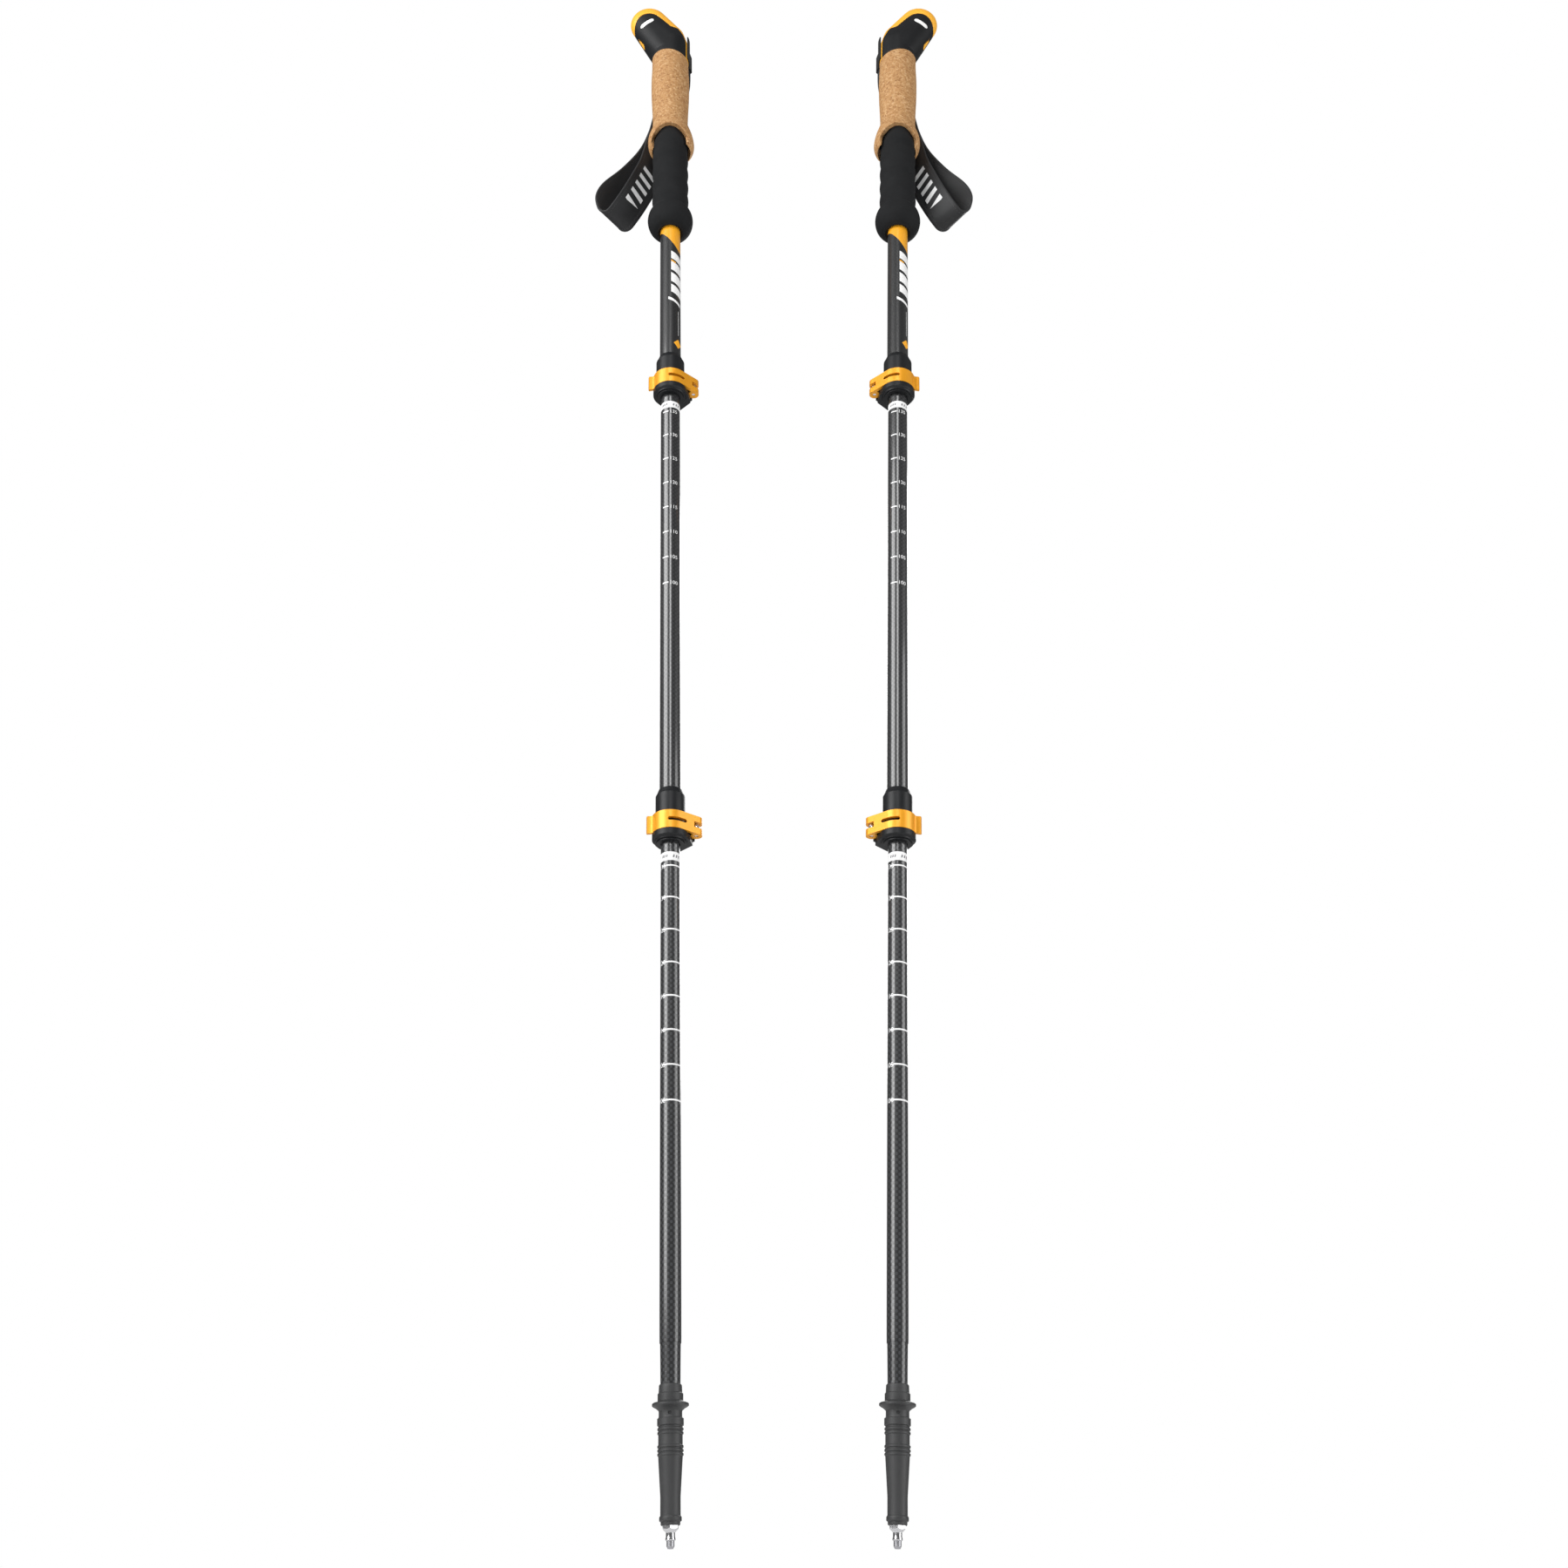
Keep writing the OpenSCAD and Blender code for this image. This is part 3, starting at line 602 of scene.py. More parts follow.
class Shop:
    """Makes meshes in a pole's own millimetres and stands them in the frame."""

    @staticmethod
    def stack(rings: Sequence[Sequence[Vector]], joined: bool) -> bmesh.types.BMesh:
        """Skins a stack of rings that have the same number of points.

        Args:
            rings: The rings in order.
            joined: Whether the last ring runs on to the first; if not, both ends get a cap.

        Returns:
            The skin, with a map of (turn, height).
        """
        bm = bmesh.new()
        layer = bm.loops.layers.uv.new("map")
        rows = [[bm.verts.new(point) for point in ring] for ring in rings]
        count = len(rings[0])
        pairs = list(zip(rows, rows[1:] + rows[:1])) if joined else list(zip(rows, rows[1:]))
        for low, high in pairs:
            for i in range(count):
                j = (i + 1) % count
                face = bm.faces.new((low[i], low[j], high[j], high[i]))
                for loop, turn in zip(face.loops, (i, i + 1, i + 1, i)):
                    loop[layer].uv = (turn / count, loop.vert.co.z)
        if not joined:
            bm.faces.new(rows[0])
            bm.faces.new(rows[-1])
        bmesh.ops.recalc_face_normals(bm, faces=bm.faces)
        return bm

    @staticmethod
    def lathe(profile: Sequence[Point], count: int) -> bmesh.types.BMesh:
        """Turns a closed profile of (radius, height) points round the pole; turn 0 faces the front."""
        angles = [math.tau * i / count - math.pi / 2 for i in range(count)]
        rings = [[Vector((r * math.cos(a), r * math.sin(a), z)) for a in angles] for r, z in profile]
        return Shop.stack(rings, joined=True)

    @staticmethod
    def prism(outline: Sequence[Point], half: float) -> bmesh.types.BMesh:
        """Extrudes an outline in X and Z through the pole from front to back."""
        rings = [[Vector((x, y, z)) for x, z in outline] for y in (-half, half)]
        return Shop.stack(rings, joined=False)

    @staticmethod
    def rod(radius: float, z0: float, z1: float, count: int) -> bmesh.types.BMesh:
        """A round bar up the pole's axis between two heights."""
        bm = bmesh.new()
        bmesh.ops.create_cone(bm, cap_ends=True, segments=count, radius1=radius, radius2=radius,
                              depth=z1 - z0, matrix=Matrix.Translation((0.0, 0.0, (z0 + z1) / 2)))
        return bm

    @staticmethod
    def box(low: Vector, high: Vector, turn: Matrix | None = None) -> bmesh.types.BMesh:
        """A cutter between two corners, turned by a matrix."""
        bm = bmesh.new()
        bmesh.ops.create_cube(bm, size=1.0)
        bmesh.ops.transform(bm, verts=bm.verts, matrix=Matrix.Translation((low + high) / 2)
                            @ Matrix.Diagonal((*(high - low), 1.0)))
        if turn:
            bmesh.ops.transform(bm, verts=bm.verts, matrix=turn)
        return bm

    @staticmethod
    def rough(name: str, bm: bmesh.types.BMesh) -> bpy.types.Object:
        """Puts a mesh into a scratch object."""
        mesh = bpy.data.meshes.new(name)
        bm.to_mesh(mesh)
        bm.free()
        obj = bpy.data.objects.new(name, mesh)
        bpy.context.scene.collection.objects.link(obj)
        return obj

    @staticmethod
    def settle(obj: bpy.types.Object) -> bpy.types.Mesh:
        """Applies an object's modifiers, drops the object and returns its plain mesh."""
        graph = bpy.context.evaluated_depsgraph_get()
        graph.update()
        mesh = bpy.data.meshes.new_from_object(obj.evaluated_get(graph))
        bpy.data.objects.remove(obj)
        return mesh

    @staticmethod
    def cut(body: bpy.types.Object, tool: bpy.types.Object, operation: str) -> None:
        """Cuts a scratch object with another and keeps the result as its mesh.

        Args:
            body: The object that is cut.
            tool: The cutter, which stays.
            operation: UNION, DIFFERENCE or INTERSECT.
        """
        modifier = body.modifiers.new("cut", "BOOLEAN")
        modifier.operation = operation
        modifier.object = tool
        modifier.solver = "MANIFOLD"
        graph = bpy.context.evaluated_depsgraph_get()
        graph.update()
        mesh = bpy.data.meshes.new_from_object(body.evaluated_get(graph))
        body.modifiers.clear()
        body.data = mesh

    @staticmethod
    def soften(obj: bpy.types.Object, voxel: float, rounds: int) -> None:
        """Remeshes a closed scratch object evenly and smooths it, which rounds its edges."""
        remesh = obj.modifiers.new("even", "REMESH")
        remesh.mode = "VOXEL"
        remesh.voxel_size = voxel
        relax = obj.modifiers.new("relax", "SMOOTH")
        relax.factor = 0.5
        relax.iterations = rounds
        graph = bpy.context.evaluated_depsgraph_get()
        graph.update()
        mesh = bpy.data.meshes.new_from_object(obj.evaluated_get(graph))
        obj.modifiers.clear()
        obj.data = mesh

    @staticmethod
    def stand(mesh: bpy.types.Mesh, stance: Stance, hand: Hand, part: str, body: str,
              finishes: Sequence[Finish], slot: str, crease: float = 35.0) -> bpy.types.Object:
        """Stands a copy of a mesh in the frame as a finished piece that rides on a body.

        Args:
            mesh: The mesh, in the pole's own millimetres.
            stance: The pole's stance.
            hand: Whether the piece is mirrored on the right pole.
            part: The piece's name without its side.
            body: The body's name without its side.
            finishes: The finishes of the mesh's material slots.
            slot: The record's material slot; not used.
            crease: Edges sharper than this many degrees stay sharp.

        Returns:
            The piece.
        """
        mesh = mesh.copy()
        mesh.name = stance.name(part)
        matrix = stance.matrix(hand)
        mesh.transform(matrix)
        if matrix.determinant() < 0:
            mesh.flip_normals()
        indices = [face.material_index for face in mesh.polygons]
        mesh.materials.clear()
        for finish in finishes:
            mesh.materials.append(finish.make())
        if len(finishes) > 1:
            mesh.polygons.foreach_set("material_index", indices)
        mesh.shade_smooth()
        mesh.set_sharp_from_angle(angle=math.radians(crease))
        piece = bpy.data.objects.new(stance.name(part), mesh)
        bpy.context.scene.collection.objects.link(piece)
        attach(piece, stance.name(body))
        LOG.info("%s: %d faces, on %s", piece.name, len(mesh.polygons), stance.name(body))
        return piece


# ---------------------------------------------------------------- geometry nodes


class NodeShape:
    """A Geometry Nodes tree with named inputs, run once to give a plain mesh."""

    def __init__(self, name: str, inputs: dict[str, str]) -> None:
        """Starts a tree.

        Args:
            name: The tree's name.
            inputs: The inputs' names and socket types.
        """
        self.tree = bpy.data.node_groups.new(name, "GeometryNodeTree")
        self.graph = Graph(self.tree)
        self.tree.interface.new_socket("Geometry", in_out="INPUT", socket_type="NodeSocketGeometry")
        self.ids = {
            key: self.tree.interface.new_socket(key, in_out="INPUT", socket_type=kind).identifier
            for key, kind in inputs.items()
        }
        self.tree.interface.new_socket("Geometry", in_out="OUTPUT", socket_type="NodeSocketGeometry")
        self.entry = self.tree.nodes.new("NodeGroupInput")

    def given(self, key: str) -> Sock:
        """One of the tree's inputs."""
        return Sock(self.graph, self.entry.outputs[key])

    def finish(self, instances: Sock) -> None:
        """Ends the tree: instances are made real and get the finish."""
        real = self.graph.add("GeometryNodeRealizeInstances", inputs={"Geometry": instances})
        dressed = self.graph.add("GeometryNodeSetMaterial", inputs={
            "Geometry": real, "Material": self.given("Finish")})
        self.graph.node("NodeGroupOutput", inputs={"Geometry": dressed})

    def run(self, base: bmesh.types.BMesh, values: dict[str, Any]) -> bpy.types.Mesh:
        """Runs the tree.

        Args:
            base: The mesh that the tree starts from, which may be empty.
            values: Its inputs by name.

        Returns:
            The plain mesh.
        """
        obj = Shop.rough(self.tree.name, base)
        modifier = obj.modifiers.new("shape", "NODES")
        modifier.node_group = self.tree
        for key, value in values.items():
            modifier[self.ids[key]] = value
        return Shop.settle(obj)


class ArcLadder(NodeShape):
    """Short curved lines on a tube, one above the other."""

    def __init__(self) -> None:
        """Builds the tree."""
        numbers = ("Radius", "Start", "Sweep", "Line Height", "Thickness", "First", "Pitch")
        inputs = dict.fromkeys(numbers, "NodeSocketFloat") | {
            "Count": "NodeSocketInt", "Finish": "NodeSocketMaterial"}
        super().__init__("arc_ladder", inputs)
        graph = self.graph
        arc = graph.add("GeometryNodeCurveArc", {"mode": "RADIUS"}, {
            "Resolution": 40, "Radius": self.given("Radius"), "Start Angle": self.given("Start"),
            "Sweep Angle": self.given("Sweep")})
        section = graph.add("GeometryNodeCurvePrimitiveQuadrilateral", {"mode": "RECTANGLE"}, {
            "Width": self.given("Thickness"), "Height": self.given("Line Height")})
        line = graph.add("GeometryNodeCurveToMesh", inputs={
            "Curve": arc, "Profile Curve": section, "Fill Caps": True})
        low = graph.add("ShaderNodeCombineXYZ", inputs={2: self.given("First")})
        step = graph.add("ShaderNodeCombineXYZ", inputs={2: self.given("Pitch")})
        rungs = graph.add("GeometryNodeMeshLine", {"mode": "OFFSET"}, {
            "Count": self.given("Count"), "Start Location": low, "Offset": step})
        self.finish(graph.add("GeometryNodeInstanceOnPoints", inputs={"Points": rungs, "Instance": line}))


class Seam(NodeShape):
    """A row of stitches along a line."""

    def __init__(self) -> None:
        """Builds the tree."""
        inputs = {"Spacing": "NodeSocketFloat", "Stitch": "NodeSocketFloat", "Thread": "NodeSocketFloat",
                  "Finish": "NodeSocketMaterial"}
        super().__init__("seam", inputs)
        graph = self.graph
        path = graph.add("GeometryNodeMeshToCurve", inputs={"Mesh": self.given("Geometry")})
        spots = graph.node("GeometryNodeCurveToPoints", {"mode": "LENGTH"}, {
            "Curve": path, "Length": self.given("Spacing")})
        ball = graph.add("GeometryNodeMeshIcoSphere", inputs={"Radius": 0.5, "Subdivisions": 2})
        size = graph.add("ShaderNodeCombineXYZ", inputs={
            0: self.given("Thread"), 1: self.given("Thread"), 2: self.given("Stitch")})
        self.finish(graph.add("GeometryNodeInstanceOnPoints", inputs={
            "Points": Sock(graph, spots.outputs["Points"]), "Instance": ball,
            "Rotation": Sock(graph, spots.outputs["Rotation"]), "Scale": size}))


# ---------------------------------------------------------------- sub-assemblies


@dataclass
class Tubes:
    """The three carbon tubes."""

    sizes: PoleSizes
    taper_z: float = 157.0
    taper_r: float = 6.3
    socket_z: float = 60.0
    ferrule_top: float = 94.0
    facets: int = 96

    def sleeve(self, radius: float, z0: float, z1: float) -> list[Point]:
        """Closed wall of a straight tube with broken edges."""
        inner, edge = radius - self.sizes.wall, 0.12
        rows = [z0 + (z1 - z0) * k / 24 for k in range(25)]
        outer = [(radius - edge, z0), (radius, z0 + edge)] + [(radius, z) for z in rows[1:-1]]
        outer += [(radius, z1 - edge), (radius - edge, z1)]
        return outer + [(inner, z1), (inner, z0)]

    def lower(self) -> list[Point]:
        """Closed wall of the lower tube, which narrows into the ferrule."""
        top = self.sizes.lower_lock + self.sizes.overlap
        line = smooth([(self.taper_r, self.socket_z), (self.taper_r, self.ferrule_top + 2),
                       (6.68, 128.0), (self.sizes.lower_r, self.taper_z),
                       (self.sizes.lower_r, top)], 10)
        return line + [(r - self.sizes.wall, z) for r, z in reversed(line)]

    def build(self, stance: Stance) -> None:
        """Makes the tubes of one pole."""
        sizes = self.sizes
        walls = (
            ("upper", self.sleeve(sizes.upper_r, sizes.upper_lock + 6, sizes.head_z + 10), PLAIN_CARBON),
            ("mid", self.sleeve(sizes.mid_r, sizes.lower_lock + 6, sizes.upper_lock + sizes.overlap),
             MID_CARBON),
            ("lower", self.lower(), LOW_CARBON),
        )
        for body, wall, finish in walls:
            mesh = Shop.settle(Shop.rough("wall", Shop.lathe(wall, self.facets)))
            piece = Shop.stand(mesh, stance, Hand.SAME, f"{body}_tube_wall", body, [finish], "carbon")
            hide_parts(stance.name(f"{body}_tube"))


@dataclass
class Prints:
    """Everything printed on the tubes: length scales, white rings and plain decoration."""

    sizes: PoleSizes
    pitch: float = 25.0
    first_number: int = 100
    step: int = 5
    count: int = 8
    ink: float = 0.09
    slice_w: float = 0.55
    digit_h: float = 3.4
    ring_h: float = 7.0
    ring_gap: float = 4.0
    last_drop: float = 19.5

    def bent(self, bm: bmesh.types.BMesh, radius: float, angle: float, z: float) -> bpy.types.Mesh:
        """Bends a flat shape, drawn in X and Y, round a tube.

        Args:
            bm: The shape, which is used up.
            radius: The tube's radius.
            angle: Where the shape's origin goes, in degrees from the front towards +X.
            z: Height of the shape's origin.

        Returns:
            The bent mesh.
        """
        spots = [vert.co.x for vert in bm.verts]
        for k in range(1, math.ceil((max(spots) - min(spots)) / self.slice_w)):
            geom = [*bm.verts, *bm.edges, *bm.faces]
            at = (min(spots) + k * self.slice_w, 0.0, 0.0)
            bmesh.ops.bisect_plane(bm, geom=geom, plane_co=at, plane_no=(1.0, 0.0, 0.0))
        bmesh.ops.triangulate(bm, faces=bm.faces)
        bmesh.ops.recalc_face_normals(bm, faces=bm.faces)
        for vert in bm.verts:
            turn = math.radians(angle - 90.0) + vert.co.x / radius
            out = radius + vert.co.z
            vert.co = (out * math.cos(turn), out * math.sin(turn), z + vert.co.y)
        mesh = bpy.data.meshes.new("print")
        bm.to_mesh(mesh)
        bm.free()
        return mesh

    def figures(self, text: str, radius: float, angle: float, z: float) -> bpy.types.Mesh:
        """A number that is bent round a tube, with its lower left corner at the angle."""
        curve = bpy.data.curves.new("figures", "FONT")
        curve.body = text
        curve.size = self.digit_h * 1.4
        curve.extrude = self.ink / 2
        curve.resolution_u = 3
        obj = bpy.data.objects.new("figures", curve)
        bpy.context.scene.collection.objects.link(obj)
        mesh = Shop.settle(obj)
        bm = bmesh.new()
        bm.from_mesh(mesh)
        bmesh.ops.remove_doubles(bm, verts=bm.verts, dist=1e-4)
        return self.bent(bm, radius, angle, z)

    def patch(self, outline: Sequence[Point], radius: float, angle: float, z: float) -> bpy.types.Mesh:
        """A thin printed shape, drawn flat as (round, up) points, bent round a tube."""
        bm = bmesh.new()
        face = bm.faces.new([bm.verts.new((x, y, -self.ink / 2)) for x, y in outline])
        grown = bmesh.ops.extrude_face_region(bm, geom=[face])
        for item in grown["geom"]:
            if isinstance(item, bmesh.types.BMVert):
                item.co.z = self.ink / 2
        return self.bent(bm, radius, angle, z)

    @staticmethod
    def merged(meshes: Iterable[bpy.types.Mesh]) -> bpy.types.Mesh:
        """One mesh out of several."""
        bm = bmesh.new()
        for mesh in meshes:
            bm.from_mesh(mesh)
        whole = bpy.data.meshes.new("prints")
        bm.to_mesh(whole)
        bm.free()
        return whole

    def ladder(self, radius: float, start: float, sweep: float, first: float) -> bpy.types.Mesh:
        """The scale's lines on one tube; angles from the front towards +X, in degrees."""
        return ArcLadder().run(bmesh.new(), {
            "Radius": radius, "Start": math.radians(start - 90.0), "Sweep": math.radians(sweep),
            "Line Height": 1.15, "Thickness": self.ink, "First": first, "Pitch": self.pitch,
            "Count": self.count, "Finish": WHITE_PRINT.make()})

    def scale(self, stance: Stance, body: str, radius: float, mouth: float, line: Point,
              number_at: float) -> None:
        """The length scale and the white ring of one tube.

        Args:
            stance: The pole's stance.
            body: The tube's body.
            radius: The tube's radius.
            mouth: Height of the lock's mouth above it.
            line: Start and sweep of the scale's lines, in degrees.
            number_at: Where the numbers start, in degrees.
        """
        last = mouth - self.last_drop
        first = last - self.pitch * (self.count - 1)
        numbers = [
            self.figures(str(self.first_number + self.step * k), radius, number_at,
                         first + self.pitch * k - self.digit_h / 2)
            for k in range(self.count)
        ]
        marks = self.merged([self.ladder(radius, line[0], line[1], first), *numbers])
        Shop.stand(marks, stance, Hand.SAME, f"{body}_scale", body, [WHITE_PRINT], "pale_inlay", 30.0)
        low, skin = last + self.ring_gap, self.ink / 2
        high = low + self.ring_h
        band = Shop.lathe([(radius - 0.05, low), (radius + skin, low + 0.05),
                           (radius + skin, high - 0.05), (radius - 0.05, high)], 96)
        mesh = Shop.settle(Shop.rough("band", band))
        Shop.stand(mesh, stance, Hand.SAME, f"{body}_stop_ring", body, [WHITE_PRINT], "pale_inlay")
        dashes = [
            self.patch([(0, 0), (1.1, 0), (1.5, 2.2), (0.4, 2.2)], radius + skin, angle, low + 2.4)
            for angle in (-52, -38, -24, 18, 36, 54, 128, 146, 164, 200, 218, 236)
        ]
        Shop.stand(self.merged(dashes), stance, Hand.SAME, f"{body}_ring_marks", body, [GREY_PRINT],
                   "black_plastic", 30.0)

    def decoration(self, stance: Stance) -> None:
        """Plain slanted bars, a hairline and a small lozenge on the upper tube."""
        radius = self.sizes.upper_r
        top = self.sizes.foam_z - 30.0
        slants = [(0.0, 9.0), (12.0, 10.5), (26.0, 10.5), (40.0, 9.0), (53.0, 5.0)]
        bars = [
            self.patch([(0, -drop - height), (11.5, -drop - height - 5.5), (11.5, -drop - 5.5),
                        (0, -drop)], radius, 8.0, top)
            for drop, height in slants[:-1]
        ]
        bars.append(self.patch([(-2.5, -58), (9.5, -64), (9.5, -61), (-2.5, -55)], radius, 8.0, top))
        hairline = self.patch([(0, -98), (0.35, -98), (0.35, -70), (0, -70)], radius, 52.0, top)
        Shop.stand(self.merged([*bars, hairline]), stance, Hand.SAME, "tube_bars", "upper",
                   [WHITE_PRINT], "pale_inlay", 30.0)
        lozenge = self.patch([(0, -108), (4.5, -113), (9, -108), (4.5, -103)], radius, 22.0, top)
        accent = self.patch([(0, -9.6), (4.4, -11.7), (4.4, -9.8), (0, -7.7)], radius, 8.0, top - 3.0)
        Shop.stand(self.merged([lozenge, accent]), stance, Hand.SAME, "tube_lozenge", "upper",
                   [ORANGE_PRINT], "orange_rubber", 30.0)

    def build(self, stance: Stance) -> None:
        """Makes the prints of one pole."""
        sizes = self.sizes
        self.scale(stance, "lower", sizes.lower_r, sizes.lower_lock, (-50.0, 150.0), -84.0)
        self.scale(stance, "mid", sizes.mid_r, sizes.upper_lock, (-46.0, 38.0), -2.0)
        self.decoration(stance)


@dataclass
class Grip:
    """The cork grip and the foam grip under it, which meet on an arch across the pole."""

    sizes: PoleSizes
    swell_r: float = 17.8
    head_r: float = 17.6
    arch_r: float = 18.5
    foam_r: float = 16.2
    collar_r: float = 20.5
    rib_pitch: float = 17.5
    rib_depth: float = 0.38
    joint_drop: float = 10.0
    joint_lean: float = math.radians(8.0)
    setback: float = 1.6
    facets: int = 144

    def cork_profile(self) -> list[Point]:
        """Radius of the cork up its height."""
        z = self.sizes.cork_z
        top = self.sizes.head_z
        return smooth([
            (17.2, z - 8), (19.6, z - 4), (20.8, z + 3), (20.2, z + 10), (17.6, z + 19), (16.5, z + 29),
            (16.9, z + 44), (self.swell_r, z + 66), (self.swell_r + 0.2, z + 88),
            (self.swell_r - 0.4, z + 108), (self.head_r, top), (self.head_r, top + 6)], 8)

    def heel_profile(self) -> list[Point]:
        """Radius of the heel's swell about an axis that is set back a little."""
        z = self.sizes.cork_z
        return smooth([(17.0, z - 9), (19.9, z - 4), (20.6, z + 2), (18.8, z + 13), (15.6, z + 24)], 8)

    def cork_reach(self, angle: float, z: float, body: list[Point], heel: list[Point]) -> float:
        """How far the cork reaches from the pole's axis in one direction at one height."""
        round_r = value_at(body, z)
        if z > heel[-1][1]:
            return round_r
        heel_r = value_at(heel, z)
        across = self.setback * math.sin(angle)
        shifted = self.setback * math.cos(angle) + math.sqrt(heel_r ** 2 - across ** 2)
        return (round_r + shifted + math.hypot(round_r - shifted, 0.5)) / 2

    def arch_height(self, x: float) -> float:
        """Height of the arch at a distance from the pole's middle plane."""
        return self.sizes.arch_z + math.sqrt(max(0.0, self.arch_r ** 2 - x * x))

    def joint_height(self, x: float) -> float:
        """Height of the slanted joint between cork and head."""
        return self.sizes.head_z - self.joint_drop - x * math.tan(self.joint_lean)

    def cork(self) -> bpy.types.Mesh:
        """The cork: outside, slanted top, bore and arched foot."""
        body, heel = self.cork_profile(), self.heel_profile()
        angles = [math.tau * i / self.facets for i in range(self.facets)]
        foot, top = [], []
        for angle in angles:
            low, high = self.sizes.arch_z, self.sizes.head_z
            for _ in range(12):
                low = self.arch_height(self.cork_reach(angle, low, body, heel) * math.cos(angle))
                high = self.joint_height(self.cork_reach(angle, high, body, heel) * math.cos(angle))
            foot.append(low)
            top.append(high)
        rows = 96
        edge = 0.5
        rings: list[list[Vector]] = []
        for k in range(rows + 1):
            ring = []
            for angle, low, high in zip(angles, foot, top):
                z = low + (high - low) * k / rows
                reach = self.cork_reach(angle, z, body, heel)
                if k in (0, rows):
                    reach -= edge
                ring.append(Vector((reach * math.cos(angle), reach * math.sin(angle), z)))
            rings.append(ring)
            if k in (0, rows - 1):
                ring = []
                for angle, low, high in zip(angles, foot, top):
                    z = low + edge if k == 0 else high - edge
                    reach = self.cork_reach(angle, z, body, heel)
                    ring.append(Vector((reach * math.cos(angle), reach * math.sin(angle), z)))
                rings.append(ring)
        bore = self.sizes.upper_r
        for share in (0.6, 0.3, 0.0):
            rings.append(self.across(rings[rows + 2], bore, share, self.joint_height))
        for share in (0.0, 0.3, 0.6, 0.85):
            rings.append(self.across(rings[0], bore, share, self.arch_height))
        return Shop.settle(Shop.rough("cork", Shop.stack(rings, joined=True)))

    def across(self, rim: list[Vector], bore: float, share: float,
               level: Callable[[float], float]) -> list[Vector]:
        """A ring between the bore and a rim, on a surface whose height depends on x only."""
        ring = []
        for point in rim:
            reach = math.hypot(point.x, point.y)
            radius = bore + (reach - bore) * share
            x, y = point.x * radius / reach, point.y * radius / reach
            ring.append(Vector((x, y, level(x))))
        return ring

    def foam(self) -> bpy.types.Mesh:
        """The foam: end collar, ribbed body and arched top."""
        z0, body_r = self.sizes.foam_z, self.foam_r
        neck = z0 + 31.0
        collar = smooth([
            (11.4, z0), (15.6, z0 + 2.2), (19.2, z0 + 7.6), (self.collar_r, z0 + 15), (19.2, z0 + 22),
            (body_r + 0.2, z0 + 27), (body_r - 0.5, neck)], 6)
        angles = [math.tau * i / self.facets for i in range(self.facets)]
        cosines = [(math.cos(a), math.sin(a)) for a in angles]
        rings = [[Vector((r * c, r * s, z)) for c, s in cosines]
                 for r, z in [(self.sizes.upper_r, z0 + 2.0), (10.2, z0 + 0.6), *collar]]
        rows = 72
        rim = [self.arch_height(body_r * c) for c, _ in cosines]
        for k in range(1, rows + 1):
            ring = []
            for (c, s), high in zip(cosines, rim):
                z = neck + (high - neck) * k / rows
                wave = math.cos(math.tau * (z - neck) / self.rib_pitch)
                radius = body_r - self.rib_depth * wave
                ring.append(Vector((radius * c, radius * s, min(z, self.arch_height(radius * c)))))
            rings.append(ring)
        for share in (0.7, 0.35, 0.0):
            rings.append(self.across(rings[-1 if share == 0.7 else rows + len(collar) + 1],
                                     self.sizes.upper_r, share, self.arch_height))
        return Shop.settle(Shop.rough("foam", Shop.stack(rings, joined=True)))

    def build(self, stances: Sequence[Stance]) -> None:
        """Makes the grips of all poles."""
        cork, foam = self.cork(), self.foam()
        for stance in stances:
            piece = Shop.stand(cork, stance, Hand.MIRRORED, "cork_palm_grip", "upper", [CORK], "cork")
            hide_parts(stance.name("cork_grip"))
            piece = Shop.stand(foam, stance, Hand.MIRRORED, "foam_sleeve", "upper", [FOAM], "foam")
            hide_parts(stance.name("foam_grip"))


